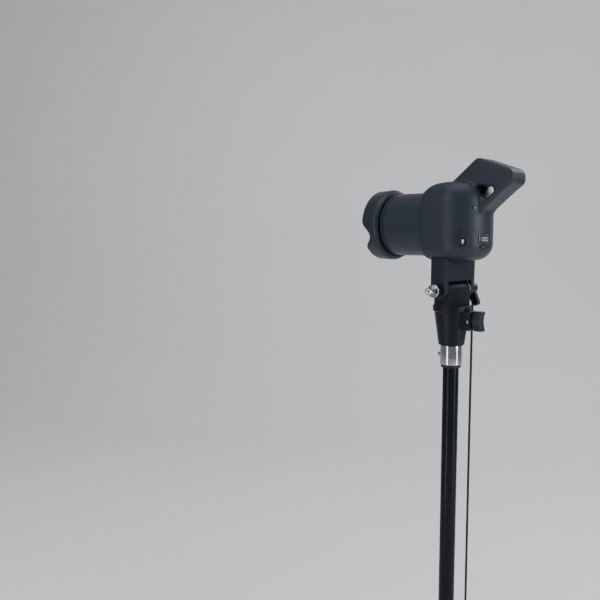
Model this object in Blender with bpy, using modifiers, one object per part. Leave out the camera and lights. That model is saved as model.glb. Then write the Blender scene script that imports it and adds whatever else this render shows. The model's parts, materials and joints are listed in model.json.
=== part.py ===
"""An RGB spotlight: a lamp head with a petal hood and a loop handle, on a tilting clamp bracket,
on the top section of a light stand. Metres, +Z up. The origin is the centre of the tube's lower end,
the tube stands along Z, and the lamp shines towards -Y. The control panel is on the +X side."""

import math

import bmesh
import bpy
from mathutils import Matrix, Vector

# Fits shared by all pieces
GAP = 0.0003
OVERRUN = 0.003
MERGE = 0.00001
SEAT_ROUNDING = 0.0006
FULL_ROUND_SHARE = 0.999

# Light stand's top section
TUBE_DIAMETER = 0.022
TUBE_WALL = 0.0012
TUBE_TOP = 0.558
BUSH_FLANGE_HEIGHT = 0.004
BUSH_PLUG_LENGTH = 0.016
COLLAR_DIAMETER = 0.030
COLLAR_HEIGHT = 0.027
COLLAR_OVERLAP = 0.020
COLLAR_CHAMFER = 0.0010
RING_DIAMETER = 0.0275
RING_HEIGHT = 0.004
COLLAR_SCREW_DIAMETER = 0.004
COLLAR_SCREW_HEAD_DIAMETER = 0.0065
COLLAR_SCREW_HEAD_LENGTH = 0.003
COLLAR_SCREW_ANGLE = math.radians(-56)
SPIGOT_DIAMETER = 0.016
SPIGOT_LENGTH = 0.047
SPIGOT_PLUG_LENGTH = 0.020
SPIGOT_WAIST_DEPTH = 0.0012
SPIGOT_WAIST_LENGTH = 0.010
SPIGOT_CHAMFER = 0.0015

# Socket that sits on the spigot and carries the tilt joint
SOCKET_HEIGHT = 0.0545
SOCKET_BASE_DIAMETER = 0.035
SOCKET_NECK_DIAMETER = 0.048
SHOULDER_DIAMETER = 0.052
SHOULDER_HEIGHT = 0.007
SOCKET_EDGE = 0.0012
SOCKET_BORE_PLAY = 0.0003
SOCKET_BORE_EXTRA = 0.002
TILT_RISE = 0.0215
TONGUE_WIDTH = 0.052
TONGUE_RADIUS = 0.0115
BOSS_WIDTH = 0.018
BOSS_HEIGHT = 0.027
BOSS_REACH = 0.034
BOSS_EDGE = 0.0025
SOCKET_SCREW_DIAMETER = 0.0042
SOCKET_SCREW_LENGTH = 0.003
SOCKET_SCREW_RECESS = 0.0004
BOSS_CENTRE_SHARE = 0.653
BOSS_SCREW_REACH_SHARE = 0.86
BOSS_SCREW_RISE_SHARE = -0.05

# Clamp screw and its wing knob
CLAMP_SCREW_DIAMETER = 0.008
CLAMP_HUB_DIAMETER = 0.0135
WING_SPAN = 0.027
WING_ROOT_SPAN = 0.013
WING_LENGTH = 0.0155
WING_FLARE_LENGTH = 0.004
WING_THICKNESS = 0.011
WING_DISH = 0.0035
WING_EDGE = 0.0016

# Neck fork, tilt bolt, nut and lever
NECK_WIDTH = 0.068
NECK_DEPTH = 0.024
EAR_RADIUS = 0.0125
NECK_RISE = 0.040
SLOT_RISE = 0.0122
NECK_EDGE = 0.0015
NECK_CRADLE = 0.006
BOLT_DIAMETER = 0.008
WASHER_GAP = 0.0014
WASHER_DIAMETER = 0.018
WASHER_THICKNESS = 0.002
SPACER_DIAMETER = 0.0145
SPACER_LENGTH = 0.0085
NUT_FLATS = 0.0115
NUT_LENGTH = 0.0145
NUT_HEX_LENGTH = 0.007
NUT_WALL = 0.0048
NUT_DOME_SHARE = 0.94
LEVER_HUB_DIAMETER = 0.020
LEVER_HUB_LENGTH = 0.0145
LEVER_LENGTH = 0.027
LEVER_ROOT_WIDTH = 0.0125
LEVER_TIP_WIDTH = 0.0095
LEVER_THICKNESS = 0.0075
LEVER_OFFSET = 0.0055
LEVER_EDGE = 0.0014
LEVER_ANGLE = math.radians(27)
LEVER_SCREW_DIAMETER = 0.0095
LEVER_SCREW_HEIGHT = 0.002
LEVER_TIP_SHARE = 0.9
NECK_SCREW_SPACING = 0.026
NECK_SCREW_DIAMETER = 0.004
NECK_SCREW_HEAD_DIAMETER = 0.007
NECK_SCREW_HEAD_HEIGHT = 0.0016
NECK_SCREW_GRIP = 0.008

# Lamp housing
AXIS_RISE = 0.089
HOUSING_WALL = 0.0024
HOUSING_HALF_WIDTH = 0.044
HOUSING_FRONT = -0.024
HOUSING_REAR = 0.0535
HOUSING_SIDE_HEIGHT = 0.074
HOUSING_BOTTOM_RADIUS = 0.022
BOTTOM_FRONT_SHARE = 0.35
DOME_HEIGHT = 0.030
RIDGE_HALF_WIDTH = 0.019
RIDGE_FRONT = -0.002
RIDGE_REAR = 0.032
DOME_FULLNESS_SHARE = 0.9
FRONT_CORNER_RADIUS = 0.0025
RIDGE_CORNER_RADIUS = 0.0145
HOUSING_SCREW_DIAMETER = 0.003
HOUSING_SCREW_HEAD_DIAMETER = 0.006
HOUSING_SCREW_HEAD_DEPTH = 0.0012
HOUSING_SCREW_LENGTH = 0.009
HOUSING_SCREW_RISES = (0.0460, 0.0665)
HOUSING_SCREW_PLACES = (-0.0138, 0.0048)

# Loop handle: its outline by shares of its reach behind the stand's axis and its rise over the lamp
# axis, and its corners by shares of a rounding that follows the reach
HANDLE_REACH = 0.0955
HANDLE_RISE = 0.0845
HANDLE_ROUNDING_SHARE = 0.105
HANDLE_HALF_WIDTH = 0.0175
HANDLE_EDGE_SHARE = 0.047
HANDLE_SHARES = (
    (-0.058, 0.403, 0.0),
    (0.037, 0.621, 1.0),
    (0.466, 1.000, 0.7),
    (0.990, 0.782, 0.9),
    (1.000, 0.592, 0.9),
    (0.822, 0.443, 2.0),
    (0.576, 0.213, 1.2),
    (0.440, 0.000, 0.0),
    (0.100, 0.000, 0.0),
)
FINGER_GAP_SHARES = (
    (0.298, 0.627, 0.5),
    (0.796, 0.521, 0.5),
    (0.571, 0.296, 0.5),
)

# Barrel, bayonet ring and petal hood, as distances forward of the stand's axis
BARREL_DIAMETER = 0.088
BARREL_WALL = 0.0024
BARREL_LENGTH = 0.069
BARREL_WEB = 0.0026
ENGINE_SETBACK = 0.022
BARREL_RIB_DEPTH = 0.0008
BARREL_RIB_WIDTH = 0.0022
BARREL_RIB_SETBACK = 0.004
SPIGOT_RING_RADIUS = 0.036
SPIGOT_RING_WALL = 0.002
SPIGOT_RING_DEPTH = 0.008
LENS_SEAT_DEPTH = 0.0075
LENS_SEAT_HEIGHT = 0.003
LENS_EDGE_THICKNESS = 0.003
LENS_CROWN = 0.0028
BAYONET_INSET = 0.0040
BAYONET_WALL = 0.0025
BAYONET_LENGTH = 0.013
BAYONET_FLANGE = 0.0012
HOOD_OVERHANG = 0.006
HOOD_WALL = 0.0026
HOOD_REAR = 0.0955
HOOD_FRONT = 0.1215
HOOD_CHAMFER = 0.0045
HOOD_WEB = 0.003
HOOD_BEAD_HEIGHT = 0.0007
HOOD_BEAD_WIDTH = 0.0016
HOOD_TWIST = math.radians(-18)
NOTCH_DEPTH = 0.0125
NOTCH_HALF_SPAN = 0.021

# Light engine and cooling
REFLECTOR_RIM_WIDTH = 0.0033
REFLECTOR_THROAT_RADIUS = 0.0150
REFLECTOR_WALL = 0.0012
REFLECTOR_CURVE_SHARE = 0.55
LED_BOARD_RADIUS = 0.0255
LED_BOARD_THICKNESS = 0.0016
EMITTER_RADIUS = 0.0125
EMITTER_THICKNESS = 0.0012
HEAT_SINK_CORE_RADIUS = 0.0175
HEAT_SINK_LENGTH = 0.036
HEAT_SINK_FINS = 20
FIN_ROOT_SHARE = 0.36
FIN_TIP_SHARE = 0.22
FAN_SIZE = 0.060
FAN_DEPTH = 0.012
FAN_CORNER = 0.005
FAN_BORE_RADIUS = 0.0285
FAN_HUB_RADIUS = 0.0125
FAN_HUB_DEPTH = 0.0085
FAN_TIP_CLEARANCE = 0.0012
FAN_BLADES = 7
FAN_BLADE_THICKNESS = 0.0012
FAN_BLADE_ANGLE = math.radians(38)
FAN_BLADE_ROOT_SHARE = 0.8
FAN_BLADE_DEPTH_SHARE = 0.55
FAN_STRUT_WIDTH = 0.0035
FAN_STRUT_DEPTH = 0.002
FAN_SHAFT_RADIUS = 0.0015
DRIVER_BOARD_Y = 0.018
DRIVER_BOARD_HEIGHT = 0.040
DRIVER_BOARD_THICKNESS = 0.0016
CHOKE_RADIUS = 0.008
CHOKE_HEIGHT = 0.009
CAPACITOR_RADIUS = 0.005
CAPACITOR_HEIGHT = 0.014

# Control panel on the rounded rear wall, by angle from +X towards +Y and height under the lamp axis
KNOB_ANGLE = math.radians(38)
KNOB_DROP = 0.0235
KNOB_DIAMETER = 0.0165
KNOB_HEIGHT = 0.0085
KNOB_GRIP_FLUTES = 14
KNOB_FLUTE_DEPTH = 0.0007
KNOB_BORE_DEPTH = 0.006
KNOB_EDGE = 0.0008
SHAFT_DIAMETER = 0.006
POT_SIZE = 0.012
POT_DEPTH = 0.007
POT_BUSH_DIAMETER = 0.0095
DISPLAY_ANGLE = math.radians(77)
DISPLAY_DROP = 0.0205
DISPLAY_WIDTH = 0.017
DISPLAY_HEIGHT = 0.0115
DISPLAY_PROUD = 0.0006
DISPLAY_EDGE = 0.0005
BUTTON_DROP = 0.0305
BUTTON_WIDTH = 0.011
BUTTON_HEIGHT = 0.0036
BUTTON_PROUD = 0.0016
BUTTON_TRAVEL = 0.0010
BUTTON_EDGE = 0.0005
PANEL_BOARD_WIDTH = 0.020
PANEL_BOARD_HEIGHT = 0.0195
PANEL_BOARD_DEPTH = 0.0052
PANEL_BOARD_THICKNESS = 0.0016
SENSOR_ANGLE = math.radians(57)
SENSOR_RISE = 0.0195
SENSOR_DIAMETER = 0.0055
SENSOR_LENGTH = 0.006
SENSOR_PROUD = 0.0009
VENT_SLOTS = 6
VENT_FIRST_ANGLE = math.radians(122)
VENT_STEP_ANGLE = math.radians(9)
VENT_WIDTH = 0.0030
VENT_HEIGHT = 0.030
VENT_ROUND_SHARE = 0.49

# Cable gland on the far side, the lead, its coil and its plug
GLAND_Y = -0.011
GLAND_DROP = 0.019
GLAND_DIAMETER = 0.0120
GLAND_FLANGE = 0.0022
GLAND_STEM_DIAMETER = 0.0080
RELIEF_LENGTH = 0.012
RELIEF_ROOT_DIAMETER = 0.0078
RELIEF_TIP_DIAMETER = 0.0052
RELIEF_RIBS = 3
RELIEF_RIB_SHARES = ((0.0, 0.0), (0.62, 0.0), (0.62, 0.28), (1.0, 0.28))
CORD_DIAMETER = 0.0036
CORD_STEP = 0.0085
CORD_ROUTE = (
    (-0.0591, -0.0110, 0.7113),
    (-0.0622, -0.0111, 0.7111),
    (-0.0663, -0.0113, 0.7093),
    (-0.0693, -0.0117, 0.7058),
    (-0.0710, -0.0122, 0.7005),
    (-0.0720, -0.0128, 0.6920),
    (-0.0728, -0.0135, 0.6760),
    (-0.0738, -0.0146, 0.6350),
    (-0.0746, -0.0154, 0.5700),
    (-0.0749, -0.0158, 0.4700),
    (-0.0748, -0.0158, 0.3700),
    (-0.0746, -0.0157, 0.2800),
    (-0.0745, -0.0156, 0.1950),
    (-0.0745, -0.0156, 0.1400),
    (-0.0745, -0.0156, 0.1072),
)
COIL_OUTER_RADIUS = 0.0280
COIL_PITCH = 0.0043
COIL_TURNS_PER_LAYER = 3
COIL_LAYER_STEP = 0.0044
COIL_TURN_POINTS = 24
TAIL_LENGTH = 0.020
TIE_WIDTH = 0.008
TIE_THICKNESS = 0.0013
PLUG_DIAMETER = 0.0098
PLUG_GRIP_LENGTH = 0.022
PLUG_BARREL_DIAMETER = 0.0055
PLUG_BARREL_LENGTH = 0.0095
PLUG_NECK_DIAMETER = 0.0056
PLUG_NECK_LENGTH = 0.007

# Facets
ROUND_STEPS = 36
MIDDLE_STEPS = 24
SMALL_STEPS = 16
TINY_STEPS = 12
ARC_STEPS = 4
SECTION_STEPS = 4
REAR_STEPS = 18
CORNER_STEPS = 3
NOTCH_STEPS = 10
SPLINE_STEPS = 16

# Heights that follow from the sizes above
COLLAR_BOTTOM = TUBE_TOP - COLLAR_OVERLAP
COLLAR_TOP = COLLAR_BOTTOM + COLLAR_HEIGHT
SOCKET_BOTTOM = COLLAR_TOP + GAP
SOCKET_TOP = SOCKET_BOTTOM + SOCKET_HEIGHT
TILT_HEIGHT = SOCKET_TOP + TILT_RISE
BOSS_CENTRE = SOCKET_BOTTOM + SOCKET_HEIGHT * BOSS_CENTRE_SHARE
HOUSING_BOTTOM = TILT_HEIGHT + NECK_RISE + GAP
AXIS_HEIGHT = TILT_HEIGHT + AXIS_RISE
SHOULDER_LINE = HOUSING_BOTTOM + HOUSING_SIDE_HEIGHT
BORE_RADIUS = TUBE_DIAMETER / 2 - TUBE_WALL
PANEL_CENTRE_Y = HOUSING_REAR - HOUSING_HALF_WIDTH
INNER_PANEL_RADIUS = HOUSING_HALF_WIDTH - HOUSING_WALL

# Frames of reference: local Z along the lamp's beam, and local Z along +X
BEAM = Matrix.Translation((0, 0, AXIS_HEIGHT)) @ Matrix.Rotation(math.pi / 2, 4, "X")
TILT = Matrix.Translation((0, 0, TILT_HEIGHT)) @ Matrix.Rotation(math.pi / 2, 4, "Y")
FLAT_X = Matrix(((0, 0, 1, 0), (1, 0, 0, 0), (0, 1, 0, 0), (0, 0, 0, 1)))


def clear_scene():
    for old in list(bpy.data.objects):
        bpy.data.objects.remove(old, do_unlink=True)


def collection(name):
    made = bpy.data.collections.new(name)
    bpy.context.scene.collection.children.link(made)
    return made


clear_scene()
PARTS = collection("rgb_spotlight")
CUTTERS = collection("cutters")
CUTTERS.hide_render = True


def finish(name, colour, roughness, metallic=0.0):
    made = bpy.data.materials.new(name)
    made.use_nodes = True
    shader = made.node_tree.nodes["Principled BSDF"]
    shader.inputs["Base Color"].default_value = (*colour, 1)
    shader.inputs["Roughness"].default_value = roughness
    shader.inputs["Metallic"].default_value = metallic
    made.diffuse_color = (*colour, 1)
    return made


HOUSING_BLACK = finish("housing_black", (0.030, 0.034, 0.041), 0.46)
BRACKET_BLACK = finish("bracket_black", (0.018, 0.020, 0.025), 0.42)
KNOB_BLACK = finish("knob_black", (0.014, 0.015, 0.018), 0.50)
TUBE_BLACK = finish("tube_black", (0.010, 0.011, 0.015), 0.32, 0.4)
CHROME = finish("chrome", (0.78, 0.78, 0.80), 0.12, 1.0)
STEEL = finish("steel", (0.52, 0.53, 0.55), 0.30, 1.0)
ALUMINIUM = finish("aluminium", (0.70, 0.71, 0.73), 0.35, 1.0)
RUBBER = finish("rubber", (0.012, 0.012, 0.014), 0.75)
GLASS = finish("glass", (0.86, 0.90, 0.93), 0.05)
REFLECTOR_SILVER = finish("reflector_silver", (0.80, 0.81, 0.83), 0.18, 1.0)
BOARD_GREEN = finish("board_green", (0.02, 0.12, 0.06), 0.50)
BOARD_WHITE = finish("board_white", (0.80, 0.81, 0.80), 0.45)
EMITTER_YELLOW = finish("emitter_yellow", (0.85, 0.70, 0.25), 0.40)
SMOKED = finish("smoked_window", (0.03, 0.03, 0.04), 0.10)
NYLON = finish("nylon_white", (0.72, 0.72, 0.70), 0.50)


def own(material, name):
    """Gives each sub-part its own copy of a finish."""
    made = material.copy()
    made.name = name + "_" + material.name
    return made


def add(name, mesh, material, place=None):
    made = bpy.data.objects.new(name, mesh)
    PARTS.objects.link(made)
    mesh.materials.clear()
    mesh.materials.append(own(material, name))
    if place is not None:
        made.matrix_world = place
    return made


def as_cutter(piece):
    for group in list(piece.users_collection):
        group.objects.unlink(piece)
    CUTTERS.objects.link(piece)
    piece.hide_render = True
    piece.display_type = "WIRE"
    return piece


def combine(piece, tool, operation):
    step = piece.modifiers.new(operation.lower(), "BOOLEAN")
    step.operation = operation
    step.solver = "EXACT"
    step.object = as_cutter(tool)
    return piece


def cut(piece, *tools):
    for tool in tools:
        combine(piece, tool, "DIFFERENCE")
    return piece


def join(piece, *tools):
    for tool in tools:
        combine(piece, tool, "UNION")
    return piece


def soften(piece, width, segments=2, angle=math.radians(40)):
    step = piece.modifiers.new("edge", "BEVEL")
    step.width = width
    step.segments = segments
    step.limit_method = "ANGLE"
    step.angle_limit = angle
    return piece


def smooth(mesh, angle=math.radians(35)):
    mesh.shade_smooth()
    mesh.set_sharp_from_angle(angle=angle)


def turned(name, profile, material, place=None, steps=ROUND_STEPS, closed=False):
    """Turns a profile of (radius, height) points, listed down its outer side, about local Z."""
    mesh = bpy.data.meshes.new(name)
    edges = [(i, i + 1) for i in range(len(profile) - 1)]
    if closed:
        edges.append((len(profile) - 1, 0))
    mesh.from_pydata([(r, 0, z) for r, z in profile], edges, [])
    made = add(name, mesh, material, place)
    screw = made.modifiers.new("turn", "SCREW")
    screw.steps = screw.render_steps = steps
    screw.use_merge_vertices = True
    screw.merge_threshold = MERGE
    screw.use_smooth_shade = True
    return made


def solid_turned(name, outer, material, place=None, steps=ROUND_STEPS):
    """A turned solid whose profile starts and ends on its axis."""
    profile = [(0, outer[0][1]), *outer, (0, outer[-1][1])]
    return turned(name, profile, material, place, steps)


def rod(name, radius, bottom, top, material, place=None, steps=SMALL_STEPS, edge=0.0):
    if edge:
        side = [(radius - edge, top), (radius, top - edge), (radius, bottom + edge), (radius - edge, bottom)]
    else:
        side = [(radius, top), (radius, bottom)]
    return solid_turned(name, side, material, place, steps)


def block(name, low, high, material, place=None, edge=0.0, segments=2):
    size = [b - a for a, b in zip(low, high)]
    middle = [(a + b) / 2 for a, b in zip(low, high)]
    shape = bmesh.new()
    bmesh.ops.create_cube(shape, size=1)
    bmesh.ops.scale(shape, vec=size, verts=shape.verts)
    bmesh.ops.translate(shape, vec=middle, verts=shape.verts)
    mesh = bpy.data.meshes.new(name)
    shape.to_mesh(mesh)
    shape.free()
    made = add(name, mesh, material, place)
    if edge:
        soften(made, edge, segments)
    return made


def rounded_outline(corners, steps=ARC_STEPS):
    """Points of a closed outline whose corners (u, v, radius) are rounded by arcs."""
    points = []
    count = len(corners)
    for i, (u, v, radius) in enumerate(corners):
        here = Vector((u, v))
        if not radius:
            points.append(here)
            continue
        back = (Vector(corners[i - 1][:2]) - here).normalized()
        ahead = (Vector(corners[(i + 1) % count][:2]) - here).normalized()
        half = back.angle(ahead) / 2
        reach = radius / math.tan(half)
        centre = here + (back + ahead).normalized() * (radius / math.sin(half))
        start = here + back * reach - centre
        end = here + ahead * reach - centre
        turn = math.atan2(start.cross(end), start.dot(end))
        for step in range(steps + 1):
            angle = turn * step / steps
            spun = Matrix.Rotation(angle, 2) @ start
            points.append(centre + spun)
    return points


def flat_piece(name, outlines, half_thickness, material, place=None, edge=0.0, edge_steps=2):
    """A flat outline, with any holes, extruded both ways along local Z, its rims rounded by edge."""
    curve = bpy.data.curves.new(name, "CURVE")
    curve.dimensions = "2D"
    curve.fill_mode = "BOTH"
    curve.extrude = half_thickness - edge
    curve.offset = -edge
    curve.bevel_depth = edge
    curve.bevel_resolution = edge_steps - 1
    for outline in outlines:
        line = curve.splines.new("POLY")
        line.points.add(len(outline) - 1)
        for point, (u, v) in zip(line.points, outline):
            point.co = (u, v, 0, 1)
        line.use_cyclic_u = True
    drawn = bpy.data.objects.new(name + "_curve", curve)
    bpy.context.scene.collection.objects.link(drawn)
    graph = bpy.context.evaluated_depsgraph_get()
    mesh = bpy.data.meshes.new_from_object(drawn.evaluated_get(graph))
    bpy.data.objects.remove(drawn, do_unlink=True)
    shape = bmesh.new()
    shape.from_mesh(mesh)
    bmesh.ops.remove_doubles(shape, verts=shape.verts, dist=MERGE)
    bmesh.ops.recalc_face_normals(shape, faces=shape.faces)
    shape.to_mesh(mesh)
    shape.free()
    smooth(mesh)
    mesh.name = name
    return add(name, mesh, material, place)


def rectangle(width, height, radius=0.0):
    return [
        (-width / 2, -height / 2, radius),
        (width / 2, -height / 2, radius),
        (width / 2, height / 2, radius),
        (-width / 2, height / 2, radius),
    ]


def loft(name, sections, material, place=None):
    """A closed skin through sections of equal point counts, capped at both ends."""
    shape = bmesh.new()
    rings = [[shape.verts.new(point) for point in section] for section in sections]
    count = len(rings[0])
    for lower, upper in zip(rings, rings[1:]):
        for i in range(count):
            j = (i + 1) % count
            shape.faces.new((lower[i], lower[j], upper[j], upper[i]))
    shape.faces.new(rings[0])
    shape.faces.new(rings[-1])
    bmesh.ops.recalc_face_normals(shape, faces=shape.faces)
    mesh = bpy.data.meshes.new(name)
    shape.to_mesh(mesh)
    shape.free()
    smooth(mesh)
    return add(name, mesh, material, place)


def panel_place(angle, height, radius=HOUSING_HALF_WIDTH):
    """A frame on the rounded rear wall: local Z out of the wall, local Y up."""
    outward = Vector((math.cos(angle), math.sin(angle), 0))
    across = Vector((-math.sin(angle), math.cos(angle), 0))
    turn = Matrix((across, Vector((0, 0, 1)), outward)).transposed().to_4x4()
    spot = Vector((0, PANEL_CENTRE_Y, height)) + outward * radius
    return Matrix.Translation(spot) @ turn


def make_stand():
    bush_bore = BORE_RADIUS - GAP
    tube_bottom = BUSH_FLANGE_HEIGHT + GAP
    outer = TUBE_DIAMETER / 2
    turned(
        "stand_tube",
        [(outer, TUBE_TOP), (outer, tube_bottom), (BORE_RADIUS, tube_bottom), (BORE_RADIUS, TUBE_TOP)],
        TUBE_BLACK,
        closed=True,
    )
    solid_turned(
        "tube_end_bush",
        [
            (bush_bore - SEAT_ROUNDING, tube_bottom + BUSH_PLUG_LENGTH),
            (bush_bore, tube_bottom + BUSH_PLUG_LENGTH - SEAT_ROUNDING),
            (bush_bore, BUSH_FLANGE_HEIGHT),
            (outer, BUSH_FLANGE_HEIGHT),
            (outer, SEAT_ROUNDING),
            (outer - SEAT_ROUNDING, 0),
        ],
        RUBBER,
        steps=MIDDLE_STEPS,
    )
    sleeve_bore = outer + GAP
    collar_radius = COLLAR_DIAMETER / 2
    collar = turned(
        "chrome_collar",
        [
            (collar_radius - COLLAR_CHAMFER, COLLAR_TOP),
            (collar_radius, COLLAR_TOP - COLLAR_CHAMFER),
            (collar_radius, COLLAR_BOTTOM + COLLAR_CHAMFER),
            (collar_radius - COLLAR_CHAMFER, COLLAR_BOTTOM),
            (sleeve_bore, COLLAR_BOTTOM),
            (sleeve_bore, COLLAR_TOP),
        ],
        CHROME,
        closed=True,
    )
    ring_radius = RING_DIAMETER / 2
    ring_top = COLLAR_BOTTOM - GAP
    turned(
        "collar_ring",
        [
            (ring_radius - COLLAR_CHAMFER, ring_top),
            (ring_radius, ring_top - COLLAR_CHAMFER),
            (ring_radius, ring_top - RING_HEIGHT + COLLAR_CHAMFER),
            (ring_radius - COLLAR_CHAMFER, ring_top - RING_HEIGHT),
            (sleeve_bore, ring_top - RING_HEIGHT),
            (sleeve_bore, ring_top),
        ],
        RUBBER,
        steps=MIDDLE_STEPS,
        closed=True,
    )
    screw_height = COLLAR_BOTTOM + COLLAR_HEIGHT / 2
    screw_place = (
        Matrix.Translation((0, 0, screw_height))
        @ Matrix.Rotation(COLLAR_SCREW_ANGLE, 4, "Z")
        @ Matrix.Rotation(math.pi / 2, 4, "Y")
    )
    shank = COLLAR_SCREW_DIAMETER / 2
    head = COLLAR_SCREW_HEAD_DIAMETER / 2
    head_bottom = collar_radius + GAP
    head_top = head_bottom + COLLAR_SCREW_HEAD_LENGTH
    solid_turned(
        "collar_screw",
        [
            (head - SEAT_ROUNDING, head_top),
            (head, head_top - SEAT_ROUNDING),
            (head, head_bottom),
            (shank, head_bottom),
            (shank, sleeve_bore),
        ],
        CHROME,
        screw_place,
        TINY_STEPS,
    )
    hole_end = collar_radius + OVERRUN
    cut(collar, rod("collar_screw_hole", shank + GAP, outer, hole_end, CHROME, screw_place, TINY_STEPS))
    stud = SPIGOT_DIAMETER / 2
    stud_top = COLLAR_TOP + SPIGOT_LENGTH
    waist_low = BOSS_CENTRE - SPIGOT_WAIST_LENGTH / 2
    waist_high = BOSS_CENTRE + SPIGOT_WAIST_LENGTH / 2
    solid_turned(
        "spigot",
        [
            (stud - SPIGOT_CHAMFER, stud_top),
            (stud, stud_top - SPIGOT_CHAMFER),
            (stud, waist_high + SPIGOT_WAIST_DEPTH),
            (stud - SPIGOT_WAIST_DEPTH, waist_high),
            (stud - SPIGOT_WAIST_DEPTH, waist_low),
            (stud, waist_low - SPIGOT_WAIST_DEPTH),
            (stud, COLLAR_TOP),
            (outer, COLLAR_TOP),
            (outer, TUBE_TOP + GAP),
            (bush_bore, TUBE_TOP + GAP),
            (bush_bore, TUBE_TOP - SPIGOT_PLUG_LENGTH),
        ],
        STEEL,
        steps=MIDDLE_STEPS,
    )


def make_socket():
    shoulder = SHOULDER_DIAMETER / 2
    neck = SOCKET_NECK_DIAMETER / 2
    base = SOCKET_BASE_DIAMETER / 2
    socket = solid_turned(
        "bracket_socket",
        [
            (shoulder - SOCKET_EDGE, SOCKET_TOP),
            (shoulder, SOCKET_TOP - SOCKET_EDGE),
            (shoulder, SOCKET_TOP - SHOULDER_HEIGHT),
            (neck, SOCKET_TOP - SHOULDER_HEIGHT - (shoulder - neck)),
            (base, SOCKET_BOTTOM + SOCKET_EDGE),
            (base - SOCKET_EDGE, SOCKET_BOTTOM),
        ],
        BRACKET_BLACK,
    )
    tongue_root = -TILT_RISE - SOCKET_EDGE
    tongue = flat_piece(
        "tongue",
        [
            rounded_outline(
                [
                    (-TONGUE_RADIUS, tongue_root, 0),
                    (TONGUE_RADIUS, tongue_root, 0),
                    (TONGUE_RADIUS, TONGUE_RADIUS, TONGUE_RADIUS * FULL_ROUND_SHARE),
                    (-TONGUE_RADIUS, TONGUE_RADIUS, TONGUE_RADIUS * FULL_ROUND_SHARE),
                ]
            )
        ],
        TONGUE_WIDTH / 2,
        BRACKET_BLACK,
        Matrix.Translation((0, 0, TILT_HEIGHT)) @ FLAT_X,
    )
    boss = block(
        "clamp_boss",
        (-BOSS_WIDTH / 2, 0, BOSS_CENTRE - BOSS_HEIGHT / 2),
        (BOSS_WIDTH / 2, BOSS_REACH, BOSS_CENTRE + BOSS_HEIGHT / 2),
        BRACKET_BLACK,
        edge=BOSS_EDGE,
    )
    join(socket, tongue, boss)
    spigot_bore = rod(
        "spigot_bore",
        SPIGOT_DIAMETER / 2 + SOCKET_BORE_PLAY,
        SOCKET_BOTTOM - OVERRUN,
        COLLAR_TOP + SPIGOT_LENGTH + SOCKET_BORE_EXTRA,
        BRACKET_BLACK,
    )
    rearward = Matrix.Translation((0, 0, BOSS_CENTRE)) @ Matrix.Rotation(-math.pi / 2, 4, "X")
    clamp_bore = rod(
        "clamp_bore", CLAMP_SCREW_DIAMETER / 2 + GAP, 0, BOSS_REACH + OVERRUN, BRACKET_BLACK, rearward
    )
    bolt_bore = rod(
        "tongue_bolt_bore", BOLT_DIAMETER / 2 + GAP, -TONGUE_WIDTH, TONGUE_WIDTH, BRACKET_BLACK, TILT
    )
    cut(socket, spigot_bore, clamp_bore, bolt_bore)
    screw = SOCKET_SCREW_DIAMETER / 2
    screw_height = BOSS_CENTRE + BOSS_HEIGHT * BOSS_SCREW_RISE_SHARE
    spot = Matrix.Translation((0, BOSS_REACH * BOSS_SCREW_REACH_SHARE, screw_height))
    for end, side in (("near", 1), ("far", -1)):
        place = spot @ Matrix.Rotation(side * math.pi / 2, 4, "Y")
        face = BOSS_WIDTH / 2
        tip = face - SOCKET_SCREW_LENGTH
        top = face - SOCKET_SCREW_RECESS
        rod("boss_pin_" + end, screw, tip, top, CHROME, place, TINY_STEPS, SEAT_ROUNDING)
        hole = rod("boss_pin_hole_" + end, screw + GAP, tip - GAP, face + OVERRUN, CHROME, place, TINY_STEPS)
        cut(socket, hole)


def make_clamp():
    rearward = Matrix.Translation((0, 0, BOSS_CENTRE)) @ Matrix.Rotation(-math.pi / 2, 4, "X")
    stud_waist = SPIGOT_DIAMETER / 2 - SPIGOT_WAIST_DEPTH
    screw = CLAMP_SCREW_DIAMETER / 2
    knob_near = BOSS_REACH + GAP
    screw_end = knob_near + WING_LENGTH - WING_DISH - KNOB_EDGE
    rod("clamp_screw", screw, stud_waist + GAP, screw_end - GAP, STEEL, rearward, SMALL_STEPS, SEAT_ROUNDING)
    root = WING_ROOT_SPAN / 2
    span = WING_SPAN / 2
    far = knob_near + WING_LENGTH
    flare = knob_near + WING_FLARE_LENGTH
    dish = far - WING_DISH
    outline = rounded_outline(
        [
            (knob_near, -root, 0),
            (flare, -span, WING_EDGE),
            (far, -span, WING_EDGE),
            (dish, 0, WING_SPAN),
            (far, span, WING_EDGE),
            (flare, span, WING_EDGE),
            (knob_near, root, 0),
        ]
    )
    knob = flat_piece(
        "wing_knob",
        [outline],
        WING_THICKNESS / 2,
        KNOB_BLACK,
        Matrix.Translation((0, 0, BOSS_CENTRE)) @ FLAT_X,
        edge=WING_EDGE,
    )
    hub = rod("wing_hub", CLAMP_HUB_DIAMETER / 2, knob_near, dish - KNOB_EDGE, KNOB_BLACK, rearward)
    join(knob, hub)
    cut(knob, rod("wing_bore", screw + GAP, knob_near - OVERRUN, screw_end, KNOB_BLACK, rearward))


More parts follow.
